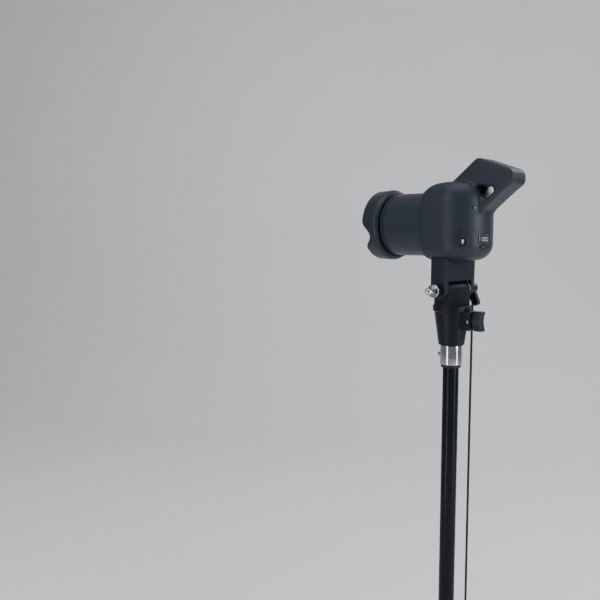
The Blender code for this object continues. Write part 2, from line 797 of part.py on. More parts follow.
def make_tilt():
    half = NECK_WIDTH / 2
    slot_half = TONGUE_WIDTH / 2 + WASHER_GAP
    depth = NECK_DEPTH / 2
    fork = flat_piece(
        "neck_fork",
        [
            rounded_outline(
                [
                    (-depth, NECK_RISE + NECK_CRADLE, 0),
                    (-depth, -EAR_RADIUS, depth * FULL_ROUND_SHARE),
                    (depth, -EAR_RADIUS, depth * FULL_ROUND_SHARE),
                    (depth, NECK_RISE + NECK_CRADLE, 0),
                ]
            )
        ],
        half,
        HOUSING_BLACK,
        Matrix.Translation((0, 0, TILT_HEIGHT)) @ FLAT_X,
        edge=NECK_EDGE,
    )
    cradle = loft("cradle_cutter", housing_sections(-GAP), HOUSING_BLACK)
    slot = block(
        "fork_slot",
        (-slot_half, -depth - OVERRUN, TILT_HEIGHT - EAR_RADIUS - OVERRUN),
        (slot_half, depth + OVERRUN, TILT_HEIGHT + SLOT_RISE),
        HOUSING_BLACK,
    )
    bore = rod("fork_bolt_bore", BOLT_DIAMETER / 2 + GAP, -NECK_WIDTH, NECK_WIDTH, HOUSING_BLACK, TILT)
    cut(fork, cradle, slot, bore)
    bolt = BOLT_DIAMETER / 2
    for end, side in (("near", 1), ("far", -1)):
        inner = TONGUE_WIDTH / 2 + GAP
        place = Matrix.Translation((0, 0, TILT_HEIGHT)) @ Matrix.Rotation(side * math.pi / 2, 4, "Y")
        turned(
            "friction_washer_" + end,
            [
                (TONGUE_RADIUS - GAP, inner + WASHER_GAP - GAP - GAP),
                (TONGUE_RADIUS - GAP, inner),
                (bolt + GAP, inner),
                (bolt + GAP, inner + WASHER_GAP - GAP - GAP),
            ],
            NYLON,
            place,
            SMALL_STEPS,
            closed=True,
        )
    spacer_low = half + GAP
    washer_low = spacer_low + SPACER_LENGTH + GAP
    nut_low = washer_low + WASHER_THICKNESS + GAP
    hub_low = half + GAP
    bolt_tip = nut_low + NUT_LENGTH - NUT_WALL - GAP
    bolt_tail = hub_low + LEVER_HUB_LENGTH - LEVER_SCREW_HEIGHT
    rod("tilt_bolt", bolt, -bolt_tail, bolt_tip, STEEL, TILT, SMALL_STEPS, SEAT_ROUNDING)
    spacer = SPACER_DIAMETER / 2
    turned(
        "bolt_spacer",
        [
            (spacer, spacer_low + SPACER_LENGTH),
            (spacer + SEAT_ROUNDING, spacer_low),
            (bolt + GAP, spacer_low),
            (bolt + GAP, spacer_low + SPACER_LENGTH),
        ],
        BRACKET_BLACK,
        TILT,
        SMALL_STEPS,
        closed=True,
    )
    washer = WASHER_DIAMETER / 2
    turned(
        "nut_washer",
        [
            (washer - SEAT_ROUNDING, washer_low + WASHER_THICKNESS),
            (washer, washer_low + WASHER_THICKNESS - SEAT_ROUNDING),
            (washer, washer_low),
            (bolt + GAP, washer_low),
            (bolt + GAP, washer_low + WASHER_THICKNESS),
        ],
        CHROME,
        TILT,
        SMALL_STEPS,
        closed=True,
    )
    across = NUT_FLATS / 2
    dome_radius = across * NUT_DOME_SHARE
    dome_base = nut_low + NUT_HEX_LENGTH
    dome_height = NUT_LENGTH - NUT_HEX_LENGTH
    corner = across / math.cos(math.pi / 6)
    hexagon = [(corner * math.cos(i * math.pi / 3), corner * math.sin(i * math.pi / 3)) for i in range(6)]
    nut = flat_piece(
        "dome_nut",
        [hexagon],
        NUT_HEX_LENGTH / 2,
        CHROME,
        TILT @ Matrix.Translation((0, 0, nut_low + NUT_HEX_LENGTH / 2)),
        edge=SEAT_ROUNDING,
        edge_steps=1,
    )
    dome_profile = [
        (dome_radius * math.cos(angle), dome_base + dome_height * math.sin(angle))
        for angle in [math.pi / 2 * (1 - i / ARC_STEPS) for i in range(1, ARC_STEPS + 1)]
    ]
    dome_foot = nut_low + NUT_HEX_LENGTH / 2
    dome = turned(
        "nut_dome",
        [(0, dome_base + dome_height), *dome_profile, (dome_radius, dome_foot), (0, dome_foot)],
        CHROME,
        TILT,
        SMALL_STEPS,
    )
    join(nut, dome)
    cut(nut, rod("nut_bore", bolt + GAP, nut_low - OVERRUN, bolt_tip + GAP, CHROME, TILT))
    make_lever(hub_low)


def make_lever(hub_low):
    outward = Matrix.Translation((0, 0, TILT_HEIGHT)) @ Matrix.Rotation(-math.pi / 2, 4, "Y")
    hub = LEVER_HUB_DIAMETER / 2
    bolt = BOLT_DIAMETER / 2
    hub_top = hub_low + LEVER_HUB_LENGTH
    lever = turned(
        "tilt_lever",
        [
            (hub - LEVER_EDGE, hub_top),
            (hub, hub_top - LEVER_EDGE),
            (hub, hub_low + LEVER_EDGE),
            (hub - LEVER_EDGE, hub_low),
            (bolt + GAP, hub_low),
            (bolt + GAP, hub_top),
        ],
        KNOB_BLACK,
        outward,
        SMALL_STEPS,
        closed=True,
    )
    root = LEVER_ROOT_WIDTH / 2
    tip = LEVER_TIP_WIDTH / 2
    arm = flat_piece(
        "lever_arm",
        [
            rounded_outline(
                [
                    (-root, -bolt - LEVER_EDGE, 0),
                    (-root, -hub, 0),
                    (-tip, -LEVER_LENGTH, tip * LEVER_TIP_SHARE),
                    (tip, -LEVER_LENGTH, tip * LEVER_TIP_SHARE),
                    (root, -hub, 0),
                    (root, -bolt - LEVER_EDGE, 0),
                ]
            )
        ],
        LEVER_THICKNESS / 2,
        KNOB_BLACK,
        Matrix.Translation((-hub_low - LEVER_OFFSET - LEVER_THICKNESS / 2, 0, TILT_HEIGHT))
        @ Matrix.Rotation(LEVER_ANGLE, 4, "X")
        @ FLAT_X,
        edge=LEVER_EDGE,
    )
    join(lever, arm)
    screw = LEVER_SCREW_DIAMETER / 2
    recess = hub_top - LEVER_SCREW_HEIGHT
    cut(lever, rod("lever_screw_recess", screw + GAP, recess, hub_top + OVERRUN, KNOB_BLACK, outward))
    rod(
        "lever_screw",
        screw,
        recess + GAP,
        hub_top + GAP,
        STEEL,
        outward,
        SMALL_STEPS,
        SEAT_ROUNDING,
    )


def plan_section(height, half_width, front, rear, corner, steps=CORNER_STEPS):
    """One level of the housing: a flat front with rounded corners and a half-round rear."""
    points = []
    reach = half_width - corner
    start = front + corner
    for step in range(steps + 1):
        angle = -math.pi / 2 * (1 - step / steps)
        points.append((reach + corner * math.cos(angle), start + corner * math.sin(angle), height))
    centre = rear - half_width
    for step in range(REAR_STEPS + 1):
        angle = math.pi * step / REAR_STEPS
        points.append((half_width * math.cos(angle), centre + half_width * math.sin(angle), height))
    for step in range(steps + 1):
        angle = math.pi + math.pi / 2 * step / steps
        points.append((corner * math.cos(angle) - reach, start + corner * math.sin(angle), height))
    return points


def housing_sections(wall):
    """The housing's levels, from the rounded bottom edge to the ridge of its dome, drawn in by wall."""
    sections = []
    corner = FRONT_CORNER_RADIUS
    for step in range(SECTION_STEPS + 1):
        angle = math.pi / 2 * step / SECTION_STEPS
        inset = HOUSING_BOTTOM_RADIUS * (1 - math.sin(angle))
        rise = HOUSING_BOTTOM_RADIUS * (1 - math.cos(angle))
        height = HOUSING_BOTTOM + max(rise, wall) + min(wall, 0)
        if wall and step and HOUSING_BOTTOM + rise <= HOUSING_BOTTOM + wall:
            continue
        sections.append(
            plan_section(
                height,
                HOUSING_HALF_WIDTH - inset - wall,
                HOUSING_FRONT + inset * BOTTOM_FRONT_SHARE + wall,
                HOUSING_REAR - inset - wall,
                corner,
            )
        )
    for step in range(SECTION_STEPS + 1):
        angle = math.pi / 2 * step / SECTION_STEPS
        lean = max(math.cos(angle), 0) ** DOME_FULLNESS_SHARE
        climb = math.sin(angle) ** DOME_FULLNESS_SHARE
        sections.append(
            plan_section(
                SHOULDER_LINE + (DOME_HEIGHT - wall) * climb,
                RIDGE_HALF_WIDTH + (HOUSING_HALF_WIDTH - RIDGE_HALF_WIDTH) * lean - wall,
                RIDGE_FRONT + (HOUSING_FRONT - RIDGE_FRONT) * lean + wall,
                RIDGE_REAR + (HOUSING_REAR - RIDGE_REAR) * lean - wall,
                RIDGE_CORNER_RADIUS + (corner - RIDGE_CORNER_RADIUS) * lean - max(wall, 0) * (1 - lean),
            )
        )
    return sections


def handle_outline(shares):
    rounding = HANDLE_REACH * HANDLE_ROUNDING_SHARE
    return rounded_outline(
        [(u * HANDLE_REACH, v * HANDLE_RISE, r * rounding) for u, v, r in shares], CORNER_STEPS
    )


def make_housing():
    barrel_hole = SPIGOT_RING_RADIUS + GAP
    wide = HOUSING_HALF_WIDTH + OVERRUN
    top = AXIS_HEIGHT + HOUSING_SIDE_HEIGHT + DOME_HEIGHT
    axis_shift = Matrix.Translation((0, 0, AXIS_HEIGHT)) @ FLAT_X
    for side, name in ((1, "housing_right"), (-1, "housing_left")):
        shell = loft(name, housing_sections(0.0), HOUSING_BLACK)
        handle = flat_piece(
            "handle_" + name,
            [handle_outline(HANDLE_SHARES)],
            HANDLE_HALF_WIDTH,
            HOUSING_BLACK,
            axis_shift,
            edge=HANDLE_REACH * HANDLE_EDGE_SHARE,
            edge_steps=3,
        )
        finger_gap = flat_piece(
            "finger_gap_" + name,
            [handle_outline(FINGER_GAP_SHARES)],
            HANDLE_HALF_WIDTH + OVERRUN,
            HOUSING_BLACK,
            axis_shift,
        )
        cut(handle, finger_gap)
        cavity = loft("cavity_" + name, housing_sections(HOUSING_WALL), HOUSING_BLACK)
        edges = sorted((-side * wide, side * GAP / 2))
        other_half = block(
            "half_" + name,
            (edges[0], HOUSING_FRONT - OVERRUN, HOUSING_BOTTOM - OVERRUN),
            (edges[1], HANDLE_REACH + OVERRUN, top),
            HOUSING_BLACK,
        )
        front_hole = rod(
            "front_hole_" + name,
            barrel_hole,
            -HOUSING_FRONT - HOUSING_WALL - OVERRUN,
            -HOUSING_FRONT + OVERRUN,
            HOUSING_BLACK,
            BEAM,
            ROUND_STEPS,
        )
        join(shell, handle)
        cut(shell, cavity, other_half, front_hole)
        screw_hole = rod(
            "neck_screw_hole_" + name,
            NECK_SCREW_DIAMETER / 2 + GAP,
            HOUSING_BOTTOM - OVERRUN,
            HOUSING_BOTTOM + HOUSING_WALL + OVERRUN,
            HOUSING_BLACK,
            Matrix.Translation((side * NECK_SCREW_SPACING / 2, 0, 0)),
            TINY_STEPS,
        )
        cut(shell, screw_hole)
        if side == 1:
            cut_panel(shell)
        else:
            cut_far_side(shell)


def cut_panel(shell):
    """The holes of the control panel in the right half."""
    through = HOUSING_WALL + OVERRUN
    knob = panel_place(KNOB_ANGLE, AXIS_HEIGHT - KNOB_DROP)
    cut(shell, rod("pot_hole", POT_BUSH_DIAMETER / 2 + GAP, -through, OVERRUN, HOUSING_BLACK, knob))
    window = panel_place(DISPLAY_ANGLE, AXIS_HEIGHT - DISPLAY_DROP)
    cut(
        shell,
        block(
            "window_hole",
            (-DISPLAY_WIDTH / 2 - GAP, -DISPLAY_HEIGHT / 2 - GAP, -through),
            (DISPLAY_WIDTH / 2 + GAP, DISPLAY_HEIGHT / 2 + GAP, OVERRUN),
            HOUSING_BLACK,
            window,
        ),
    )
    button = panel_place(DISPLAY_ANGLE, AXIS_HEIGHT - BUTTON_DROP)
    cut(
        shell,
        block(
            "button_hole",
            (-BUTTON_WIDTH / 2 - GAP, -BUTTON_HEIGHT / 2 - GAP, -through),
            (BUTTON_WIDTH / 2 + GAP, BUTTON_HEIGHT / 2 + GAP, OVERRUN),
            HOUSING_BLACK,
            button,
        ),
    )
    sensor = panel_place(SENSOR_ANGLE, AXIS_HEIGHT + SENSOR_RISE)
    eye = SENSOR_DIAMETER / 2 + GAP
    cut(shell, rod("sensor_hole", eye, -through, OVERRUN, HOUSING_BLACK, sensor, TINY_STEPS))


def cut_far_side(shell):
    """The vents, the cable hole and the case screws of the left half."""
    through = HOUSING_WALL + OVERRUN
    for slot in range(VENT_SLOTS):
        place = panel_place(VENT_FIRST_ANGLE + slot * VENT_STEP_ANGLE, AXIS_HEIGHT)
        outline = rounded_outline(rectangle(VENT_WIDTH, VENT_HEIGHT, VENT_WIDTH * VENT_ROUND_SHARE), 3)
        cut(shell, flat_piece("vent_slot_" + str(slot), [outline], through, HOUSING_BLACK, place))
    stem = GLAND_STEM_DIAMETER / 2 + GAP
    cut(shell, rod("gland_hole", stem, -through, OVERRUN, HOUSING_BLACK, gland_place()))
    for number, place in enumerate(case_screw_places()):
        head = HOUSING_SCREW_HEAD_DIAMETER / 2
        shank = HOUSING_SCREW_DIAMETER / 2
        solid_turned(
            "case_screw_" + str(number + 1),
            [
                (head, -GAP),
                (head, -HOUSING_SCREW_HEAD_DEPTH),
                (shank, -HOUSING_SCREW_HEAD_DEPTH),
                (shank, -HOUSING_SCREW_LENGTH),
            ],
            STEEL,
            place,
            TINY_STEPS,
        )
        recess = solid_turned(
            "case_screw_seat_" + str(number + 1),
            [
                (head + GAP, OVERRUN),
                (head + GAP, -HOUSING_SCREW_HEAD_DEPTH - GAP),
                (shank + GAP, -HOUSING_SCREW_HEAD_DEPTH - GAP),
                (shank + GAP, -through),
            ],
            STEEL,
            place,
            TINY_STEPS,
        )
        cut(shell, recess)


def gland_place():
    return Matrix.Translation((-HOUSING_HALF_WIDTH, GLAND_Y, AXIS_HEIGHT - GLAND_DROP)) @ Matrix.Rotation(
        -math.pi / 2, 4, "Y"
    )


def case_screw_places():
    turn = Matrix.Rotation(-math.pi / 2, 4, "Y")
    return [
        Matrix.Translation((-HOUSING_HALF_WIDTH, along, HOUSING_BOTTOM + rise)) @ turn
        for rise in HOUSING_SCREW_RISES
        for along in HOUSING_SCREW_PLACES
    ]


def make_neck_screws():
    slot_top = TILT_HEIGHT + SLOT_RISE
    shank = NECK_SCREW_DIAMETER / 2
    head = NECK_SCREW_HEAD_DIAMETER / 2
    head_top = slot_top + NECK_SCREW_HEAD_HEIGHT
    fork = bpy.data.objects["neck_fork"]
    for place, end in ((1, "near"), (-1, "far")):
        spot = Matrix.Translation((place * NECK_SCREW_SPACING / 2, 0, 0))
        top = HOUSING_BOTTOM + NECK_SCREW_GRIP
        solid_turned(
            "neck_screw_" + end,
            [
                (shank, top),
                (shank, head_top),
                (head, head_top),
                (head, slot_top + GAP),
            ],
            STEEL,
            spot,
            TINY_STEPS,
        )
        bore = shank + GAP
        low = slot_top - OVERRUN
        high = HOUSING_BOTTOM + OVERRUN
        cut(fork, rod("neck_screw_bore_" + end, bore, low, high, STEEL, spot, TINY_STEPS))
        seat = head + GAP
        cut(fork, rod("neck_screw_seat_" + end, seat, low, head_top + GAP, STEEL, spot, TINY_STEPS))


def make_barrel():
    outer = BARREL_DIAMETER / 2
    inner = outer - BARREL_WALL
    rear = -HOUSING_FRONT + GAP
    front = rear + BARREL_LENGTH
    spigot_rear = rear - SPIGOT_RING_DEPTH
    seat = front - LENS_SEAT_DEPTH
    rib = front - BARREL_RIB_SETBACK
    spigot_inner = SPIGOT_RING_RADIUS - SPIGOT_RING_WALL
    engine_seat = rear + ENGINE_SETBACK + BARREL_WEB
    turned(
        "front_barrel",
        [
            (outer - SEAT_ROUNDING, front),
            (outer, front - SEAT_ROUNDING),
            (outer, rib),
            (outer - BARREL_RIB_DEPTH, rib - BARREL_RIB_DEPTH),
            (outer - BARREL_RIB_DEPTH, rib - BARREL_RIB_WIDTH),
            (outer, rib - BARREL_RIB_WIDTH - BARREL_RIB_DEPTH),
            (outer, rear),
            (SPIGOT_RING_RADIUS, rear),
            (SPIGOT_RING_RADIUS, spigot_rear),
            (spigot_inner, spigot_rear),
            (spigot_inner, engine_seat),
            (SPIGOT_RING_RADIUS, engine_seat),
            (SPIGOT_RING_RADIUS, rear + BARREL_WEB),
            (inner, rear + BARREL_WEB),
            (inner, seat - LENS_SEAT_HEIGHT),
            (inner - LENS_SEAT_HEIGHT, seat),
            (inner, seat),
            (inner, front),
        ],
        HOUSING_BLACK,
        BEAM,
        closed=True,
    )
    lens_rear = seat + GAP
    lens_front = lens_rear + LENS_EDGE_THICKNESS
    lens_radius = inner - GAP
    bayonet = outer - BAYONET_INSET
    bayonet_bore = bayonet - BAYONET_WALL
    bulge = [
        (
            bayonet_bore * math.sin(math.pi / 2 * i / ARC_STEPS),
            lens_front + LENS_CROWN * math.cos(math.pi / 2 * i / ARC_STEPS),
        )
        for i in range(ARC_STEPS + 1)
    ]
    turned(
        "front_lens",
        [*bulge, (lens_radius, lens_front), (lens_radius, lens_rear), (0, lens_rear)],
        GLASS,
        BEAM,
    )
    ring_rear = lens_front + GAP
    ring_front = front + BAYONET_LENGTH
    flange_front = front + GAP + BAYONET_FLANGE
    turned(
        "bayonet_ring",
        [
            (bayonet - SEAT_ROUNDING, ring_front),
            (bayonet, ring_front - SEAT_ROUNDING),
            (bayonet, flange_front),
            (outer - SEAT_ROUNDING - SEAT_ROUNDING, flange_front),
            (outer - SEAT_ROUNDING - SEAT_ROUNDING, front + GAP),
            (inner - GAP, front + GAP),
            (inner - GAP, ring_rear),
            (bayonet_bore, ring_rear),
            (bayonet_bore, ring_front),
        ],
        BRACKET_BLACK,
        BEAM,
        closed=True,
    )


def make_hood():
    outer = BARREL_DIAMETER / 2 + HOOD_OVERHANG
    inner = outer - HOOD_WALL
    bore = BARREL_DIAMETER / 2 - BAYONET_INSET + GAP
    bead = HOOD_REAR + HOOD_CHAMFER + HOOD_BEAD_WIDTH
    twisted = BEAM @ Matrix.Rotation(HOOD_TWIST, 4, "Z")
    hood = turned(
        "petal_hood",
        [
            (outer - SEAT_ROUNDING, HOOD_FRONT),
            (outer, HOOD_FRONT - SEAT_ROUNDING),
            (outer, bead + HOOD_BEAD_WIDTH),
            (outer + HOOD_BEAD_HEIGHT, bead + HOOD_BEAD_WIDTH / 2),
            (outer, bead),
            (outer, HOOD_REAR + HOOD_CHAMFER),
            (outer - HOOD_CHAMFER, HOOD_REAR),
            (bore, HOOD_REAR),
            (bore, HOOD_REAR + HOOD_WEB),
            (inner - HOOD_CHAMFER, HOOD_REAR + HOOD_WEB),
            (inner, HOOD_REAR + HOOD_WEB + HOOD_CHAMFER),
            (inner, HOOD_FRONT),
        ],
        HOUSING_BLACK,
        twisted,
        closed=True,
    )
    curve = []
    for step in range(NOTCH_STEPS + 1):
        across = 2 * step / NOTCH_STEPS - 1
        depth = NOTCH_DEPTH * (1 + math.cos(math.pi * across)) / 2
        curve.append((NOTCH_HALF_SPAN * across, HOOD_FRONT - depth))
    curve[0] = (-NOTCH_HALF_SPAN - OVERRUN, HOOD_FRONT + SEAT_ROUNDING)
    curve[-1] = (NOTCH_HALF_SPAN + OVERRUN, HOOD_FRONT + SEAT_ROUNDING)
    outline = [
        *curve,
        (NOTCH_HALF_SPAN + OVERRUN, HOOD_FRONT + OVERRUN),
        (-NOTCH_HALF_SPAN - OVERRUN, HOOD_FRONT + OVERRUN),
    ]
    cut(hood, flat_piece("hood_notch", [outline], outer + OVERRUN, HOUSING_BLACK, twisted @ FLAT_X))


def make_light_engine():
    rear = -HOUSING_FRONT + GAP
    front = rear + BARREL_LENGTH
    seat = front - LENS_SEAT_DEPTH
    mouth = seat - LENS_SEAT_HEIGHT
    sink_front = rear + ENGINE_SETBACK + BARREL_WEB
    board_rear = sink_front + GAP
    board_front = board_rear + LED_BOARD_THICKNESS
    throat = board_front + GAP + EMITTER_THICKNESS
    rim_radius = BARREL_DIAMETER / 2 - BARREL_WALL - GAP
    mouth_radius = rim_radius - REFLECTOR_RIM_WIDTH
    bowl = []
    for step in range(ARC_STEPS + 1):
        share = step / ARC_STEPS
        flare = share ** REFLECTOR_CURVE_SHARE
        radius = REFLECTOR_THROAT_RADIUS + (mouth_radius - REFLECTOR_THROAT_RADIUS) * flare
        bowl.append((radius, throat + (mouth - throat) * share))
    outside = [(r + REFLECTOR_WALL, z) for r, z in reversed(bowl[:-1])]
    rim = mouth - REFLECTOR_WALL
    turned(
        "reflector",
        [(rim_radius, mouth), (rim_radius, rim), (mouth_radius + REFLECTOR_WALL, rim), *outside, *bowl],
        REFLECTOR_SILVER,
        BEAM,
        MIDDLE_STEPS,
        closed=True,
    )
    rod("led_board", LED_BOARD_RADIUS, board_rear, board_front, BOARD_WHITE, BEAM, ROUND_STEPS)
    rod("led_emitter", EMITTER_RADIUS, board_front + GAP, throat, EMITTER_YELLOW, BEAM)
    tip = SPIGOT_RING_RADIUS - SPIGOT_RING_WALL - GAP
    star = []
    pitch = 2 * math.pi / HEAT_SINK_FINS
    root_half = FIN_ROOT_SHARE * pitch / 2
    tip_half = FIN_TIP_SHARE * pitch / 2
    for fin in range(HEAT_SINK_FINS):
        middle = fin * pitch
        for radius, angle in (
            (HEAT_SINK_CORE_RADIUS, middle - root_half),
            (tip, middle - tip_half),
            (tip, middle + tip_half),
            (HEAT_SINK_CORE_RADIUS, middle + root_half),
        ):
            star.append((radius * math.cos(angle), radius * math.sin(angle)))
    sink_middle = sink_front - HEAT_SINK_LENGTH / 2
    flat_piece(
        "heat_sink", [star], HEAT_SINK_LENGTH / 2, ALUMINIUM, BEAM @ Matrix.Translation((0, 0, sink_middle))
    )
    make_fan(sink_front - HEAT_SINK_LENGTH - GAP)
    make_driver_board()


def make_fan(face):
    back = face - FAN_DEPTH
    bore = FAN_BORE_RADIUS
    frame = flat_piece(
        "fan_frame",
        [rounded_outline(rectangle(FAN_SIZE, FAN_SIZE, FAN_CORNER), 3)],
        FAN_DEPTH / 2,
        BRACKET_BLACK,
        BEAM @ Matrix.Translation((0, 0, face - FAN_DEPTH / 2)),
    )
    cut(frame, rod("fan_duct", bore, back - OVERRUN, face + OVERRUN, BRACKET_BLACK, BEAM, ROUND_STEPS))
    overlap = bore + FAN_STRUT_DEPTH / 2
    for strut in range(2):
        place = BEAM @ Matrix.Rotation(math.pi / 4 + strut * math.pi / 2, 4, "Z")
        join(
            frame,
            block(
                "fan_strut_" + str(strut),
                (-overlap, -FAN_STRUT_WIDTH / 2, back),
                (overlap, FAN_STRUT_WIDTH / 2, back + FAN_STRUT_DEPTH),
                BRACKET_BLACK,
                place,
            ),
        )
    join(frame, rod("fan_seat", FAN_HUB_RADIUS, back, back + FAN_STRUT_DEPTH, BRACKET_BLACK, BEAM))
    bearing = FAN_SHAFT_RADIUS + GAP
    hub_face = back + FAN_STRUT_DEPTH
    cut(frame, rod("fan_bearing", bearing, back - OVERRUN, hub_face + OVERRUN, STEEL, BEAM, TINY_STEPS))
    rotor_back = back + FAN_STRUT_DEPTH + GAP
    rotor_front = rotor_back + FAN_HUB_DEPTH
    rotor = solid_turned(
        "fan_rotor",
        [
            (FAN_HUB_RADIUS - KNOB_EDGE, rotor_front),
            (FAN_HUB_RADIUS, rotor_front - KNOB_EDGE),
            (FAN_HUB_RADIUS, rotor_back),
            (FAN_SHAFT_RADIUS, rotor_back),
            (FAN_SHAFT_RADIUS, back + SEAT_ROUNDING),
        ],
        KNOB_BLACK,
        BEAM,
        SMALL_STEPS,
    )
    reach = bore - FAN_TIP_CLEARANCE
    middle = (rotor_back + rotor_front) / 2
    blade_half = FAN_HUB_DEPTH * FAN_BLADE_DEPTH_SHARE
    for blade in range(FAN_BLADES):
        place = (
            BEAM
            @ Matrix.Rotation(2 * math.pi * blade / FAN_BLADES, 4, "Z")
            @ Matrix.Translation((0, 0, middle))
            @ Matrix.Rotation(FAN_BLADE_ANGLE, 4, "X")
        )
        join(
            rotor,
            block(
                "fan_blade_" + str(blade),
                (FAN_HUB_RADIUS * FAN_BLADE_ROOT_SHARE, -blade_half, -FAN_BLADE_THICKNESS / 2),
                (reach - KNOB_EDGE, blade_half, FAN_BLADE_THICKNESS / 2),
                KNOB_BLACK,
                place,
            ),
        )


def make_driver_board():
    low = SHOULDER_LINE - DRIVER_BOARD_HEIGHT
    rear = DRIVER_BOARD_Y + DRIVER_BOARD_THICKNESS
    half = math.sqrt(INNER_PANEL_RADIUS ** 2 - (rear - PANEL_CENTRE_Y) ** 2) - GAP - GAP
    board = block(
        "driver_board",
        (-half, DRIVER_BOARD_Y, low),
        (half, rear, low + DRIVER_BOARD_HEIGHT),
        BOARD_GREEN,
    )
    rearward = Matrix.Rotation(-math.pi / 2, 4, "X")
    back = rear - SEAT_ROUNDING
    choke_place = Matrix.Translation((-CHOKE_RADIUS, 0, SHOULDER_LINE - 2 * CHOKE_RADIUS)) @ rearward
    join(board, rod("choke", CHOKE_RADIUS, back, back + CHOKE_HEIGHT, BOARD_GREEN, choke_place, TINY_STEPS))
    for number in range(2):
        across = -INNER_PANEL_RADIUS / 2 + number * 3 * CAPACITOR_RADIUS
        join(
            board,
            rod(
                "capacitor_" + str(number),
                CAPACITOR_RADIUS,
                back,
                back + CAPACITOR_HEIGHT,
                BOARD_GREEN,
                Matrix.Translation((across, 0, low + 2 * CAPACITOR_RADIUS)) @ rearward,
                TINY_STEPS,
            ),
        )


def make_panel():
    knob_place = panel_place(KNOB_ANGLE, AXIS_HEIGHT - KNOB_DROP)
    shaft = SHAFT_DIAMETER / 2
    bush = POT_BUSH_DIAMETER / 2
    wall_sag = POT_SIZE ** 2 / (8 * INNER_PANEL_RADIUS)
    pot_face = -HOUSING_WALL - wall_sag - GAP - GAP
    pot = block(
        "potentiometer",
        (-POT_SIZE / 2, -POT_SIZE / 2, pot_face - POT_DEPTH),
        (POT_SIZE / 2, POT_SIZE / 2, pot_face),
        STEEL,
        knob_place,
    )
    bore_end = pot_face - POT_DEPTH / 2
    join(pot, rod("pot_bush", bush, pot_face - SEAT_ROUNDING, GAP, STEEL, knob_place))
    cut(pot, rod("pot_bore", shaft + GAP, bore_end, OVERRUN, STEEL, knob_place))
    knob_low = GAP + GAP
    shaft_top = knob_low + KNOB_BORE_DEPTH
    rod("knob_shaft", shaft, bore_end + GAP, shaft_top - GAP, STEEL, knob_place)
    radius = KNOB_DIAMETER / 2
    rim = []
    count = KNOB_GRIP_FLUTES * 3
    for step in range(count):
        angle = 2 * math.pi * step / count
        dip = 0.0 if step % 3 else KNOB_FLUTE_DEPTH
        rim.append(((radius - dip) * math.cos(angle), (radius - dip) * math.sin(angle)))
    knob = flat_piece(
        "control_knob",
        [rim],
        KNOB_HEIGHT / 2,
        KNOB_BLACK,
        knob_place @ Matrix.Translation((0, 0, knob_low + KNOB_HEIGHT / 2)),
        edge=KNOB_EDGE,
        edge_steps=1,
    )
    cut(knob, rod("knob_bore", shaft + GAP, knob_low - OVERRUN, shaft_top, KNOB_BLACK, knob_place))
    window = panel_place(DISPLAY_ANGLE, AXIS_HEIGHT - DISPLAY_DROP)
    block(
        "display_window",
        (-DISPLAY_WIDTH / 2, -DISPLAY_HEIGHT / 2, GAP - PANEL_BOARD_DEPTH),
        (DISPLAY_WIDTH / 2, DISPLAY_HEIGHT / 2, DISPLAY_PROUD),
        SMOKED,
        window,
        edge=DISPLAY_EDGE,
        segments=1,
    )
    board_top = -PANEL_BOARD_DEPTH
    board_up = DISPLAY_HEIGHT / 2 + SEAT_ROUNDING
    block(
        "display_board",
        (-PANEL_BOARD_WIDTH / 2, board_up - PANEL_BOARD_HEIGHT, board_top - PANEL_BOARD_THICKNESS),
        (PANEL_BOARD_WIDTH / 2, board_up, board_top),
        BOARD_GREEN,
        window,
    )
    button = panel_place(DISPLAY_ANGLE, AXIS_HEIGHT - BUTTON_DROP)
    button_bottom = GAP + BUTTON_TRAVEL - PANEL_BOARD_DEPTH
    block(
        "power_button",
        (-BUTTON_WIDTH / 2, -BUTTON_HEIGHT / 2, button_bottom),
        (BUTTON_WIDTH / 2, BUTTON_HEIGHT / 2, BUTTON_PROUD),
        KNOB_BLACK,
        button,
        edge=BUTTON_EDGE,
        segments=1,
    )
    sensor = panel_place(SENSOR_ANGLE, AXIS_HEIGHT + SENSOR_RISE)
    radius = SENSOR_DIAMETER / 2
    angles = [math.pi / 2 * i / ARC_STEPS for i in range(ARC_STEPS + 1)]
    lens = [(radius * math.sin(angle), SENSOR_PROUD * math.cos(angle)) for angle in angles]
    profile = [*lens, (radius, -SENSOR_LENGTH), (0, -SENSOR_LENGTH)]
    turned("remote_sensor", profile, SMOKED, sensor, TINY_STEPS)


def make_gland():
    place = gland_place()
    flange = GLAND_DIAMETER / 2
    stem = GLAND_STEM_DIAMETER / 2
    cord = CORD_DIAMETER / 2
    solid_turned(
        "cable_gland",
        [
            (flange - SEAT_ROUNDING, GLAND_FLANGE + GAP),
            (flange, GLAND_FLANGE + GAP - SEAT_ROUNDING),
            (flange, GAP),
            (stem, GAP),
            (stem, -HOUSING_WALL - OVERRUN),
        ],
        KNOB_BLACK,
        place,
        SMALL_STEPS,
    )
    root = RELIEF_ROOT_DIAMETER / 2
    tip = RELIEF_TIP_DIAMETER / 2
    low = GLAND_FLANGE + GAP + GAP
    profile = []
    for rib in range(RELIEF_RIBS):
        for share, dip in RELIEF_RIB_SHARES:
            along = (rib + share) / RELIEF_RIBS
            radius = root + (tip - root) * along - dip * (tip - cord)
            profile.append((radius, low + RELIEF_LENGTH * along))
    profile.append((tip, low + RELIEF_LENGTH))
    profile.reverse()
    solid_turned("strain_relief", profile, RUBBER, place, TINY_STEPS)


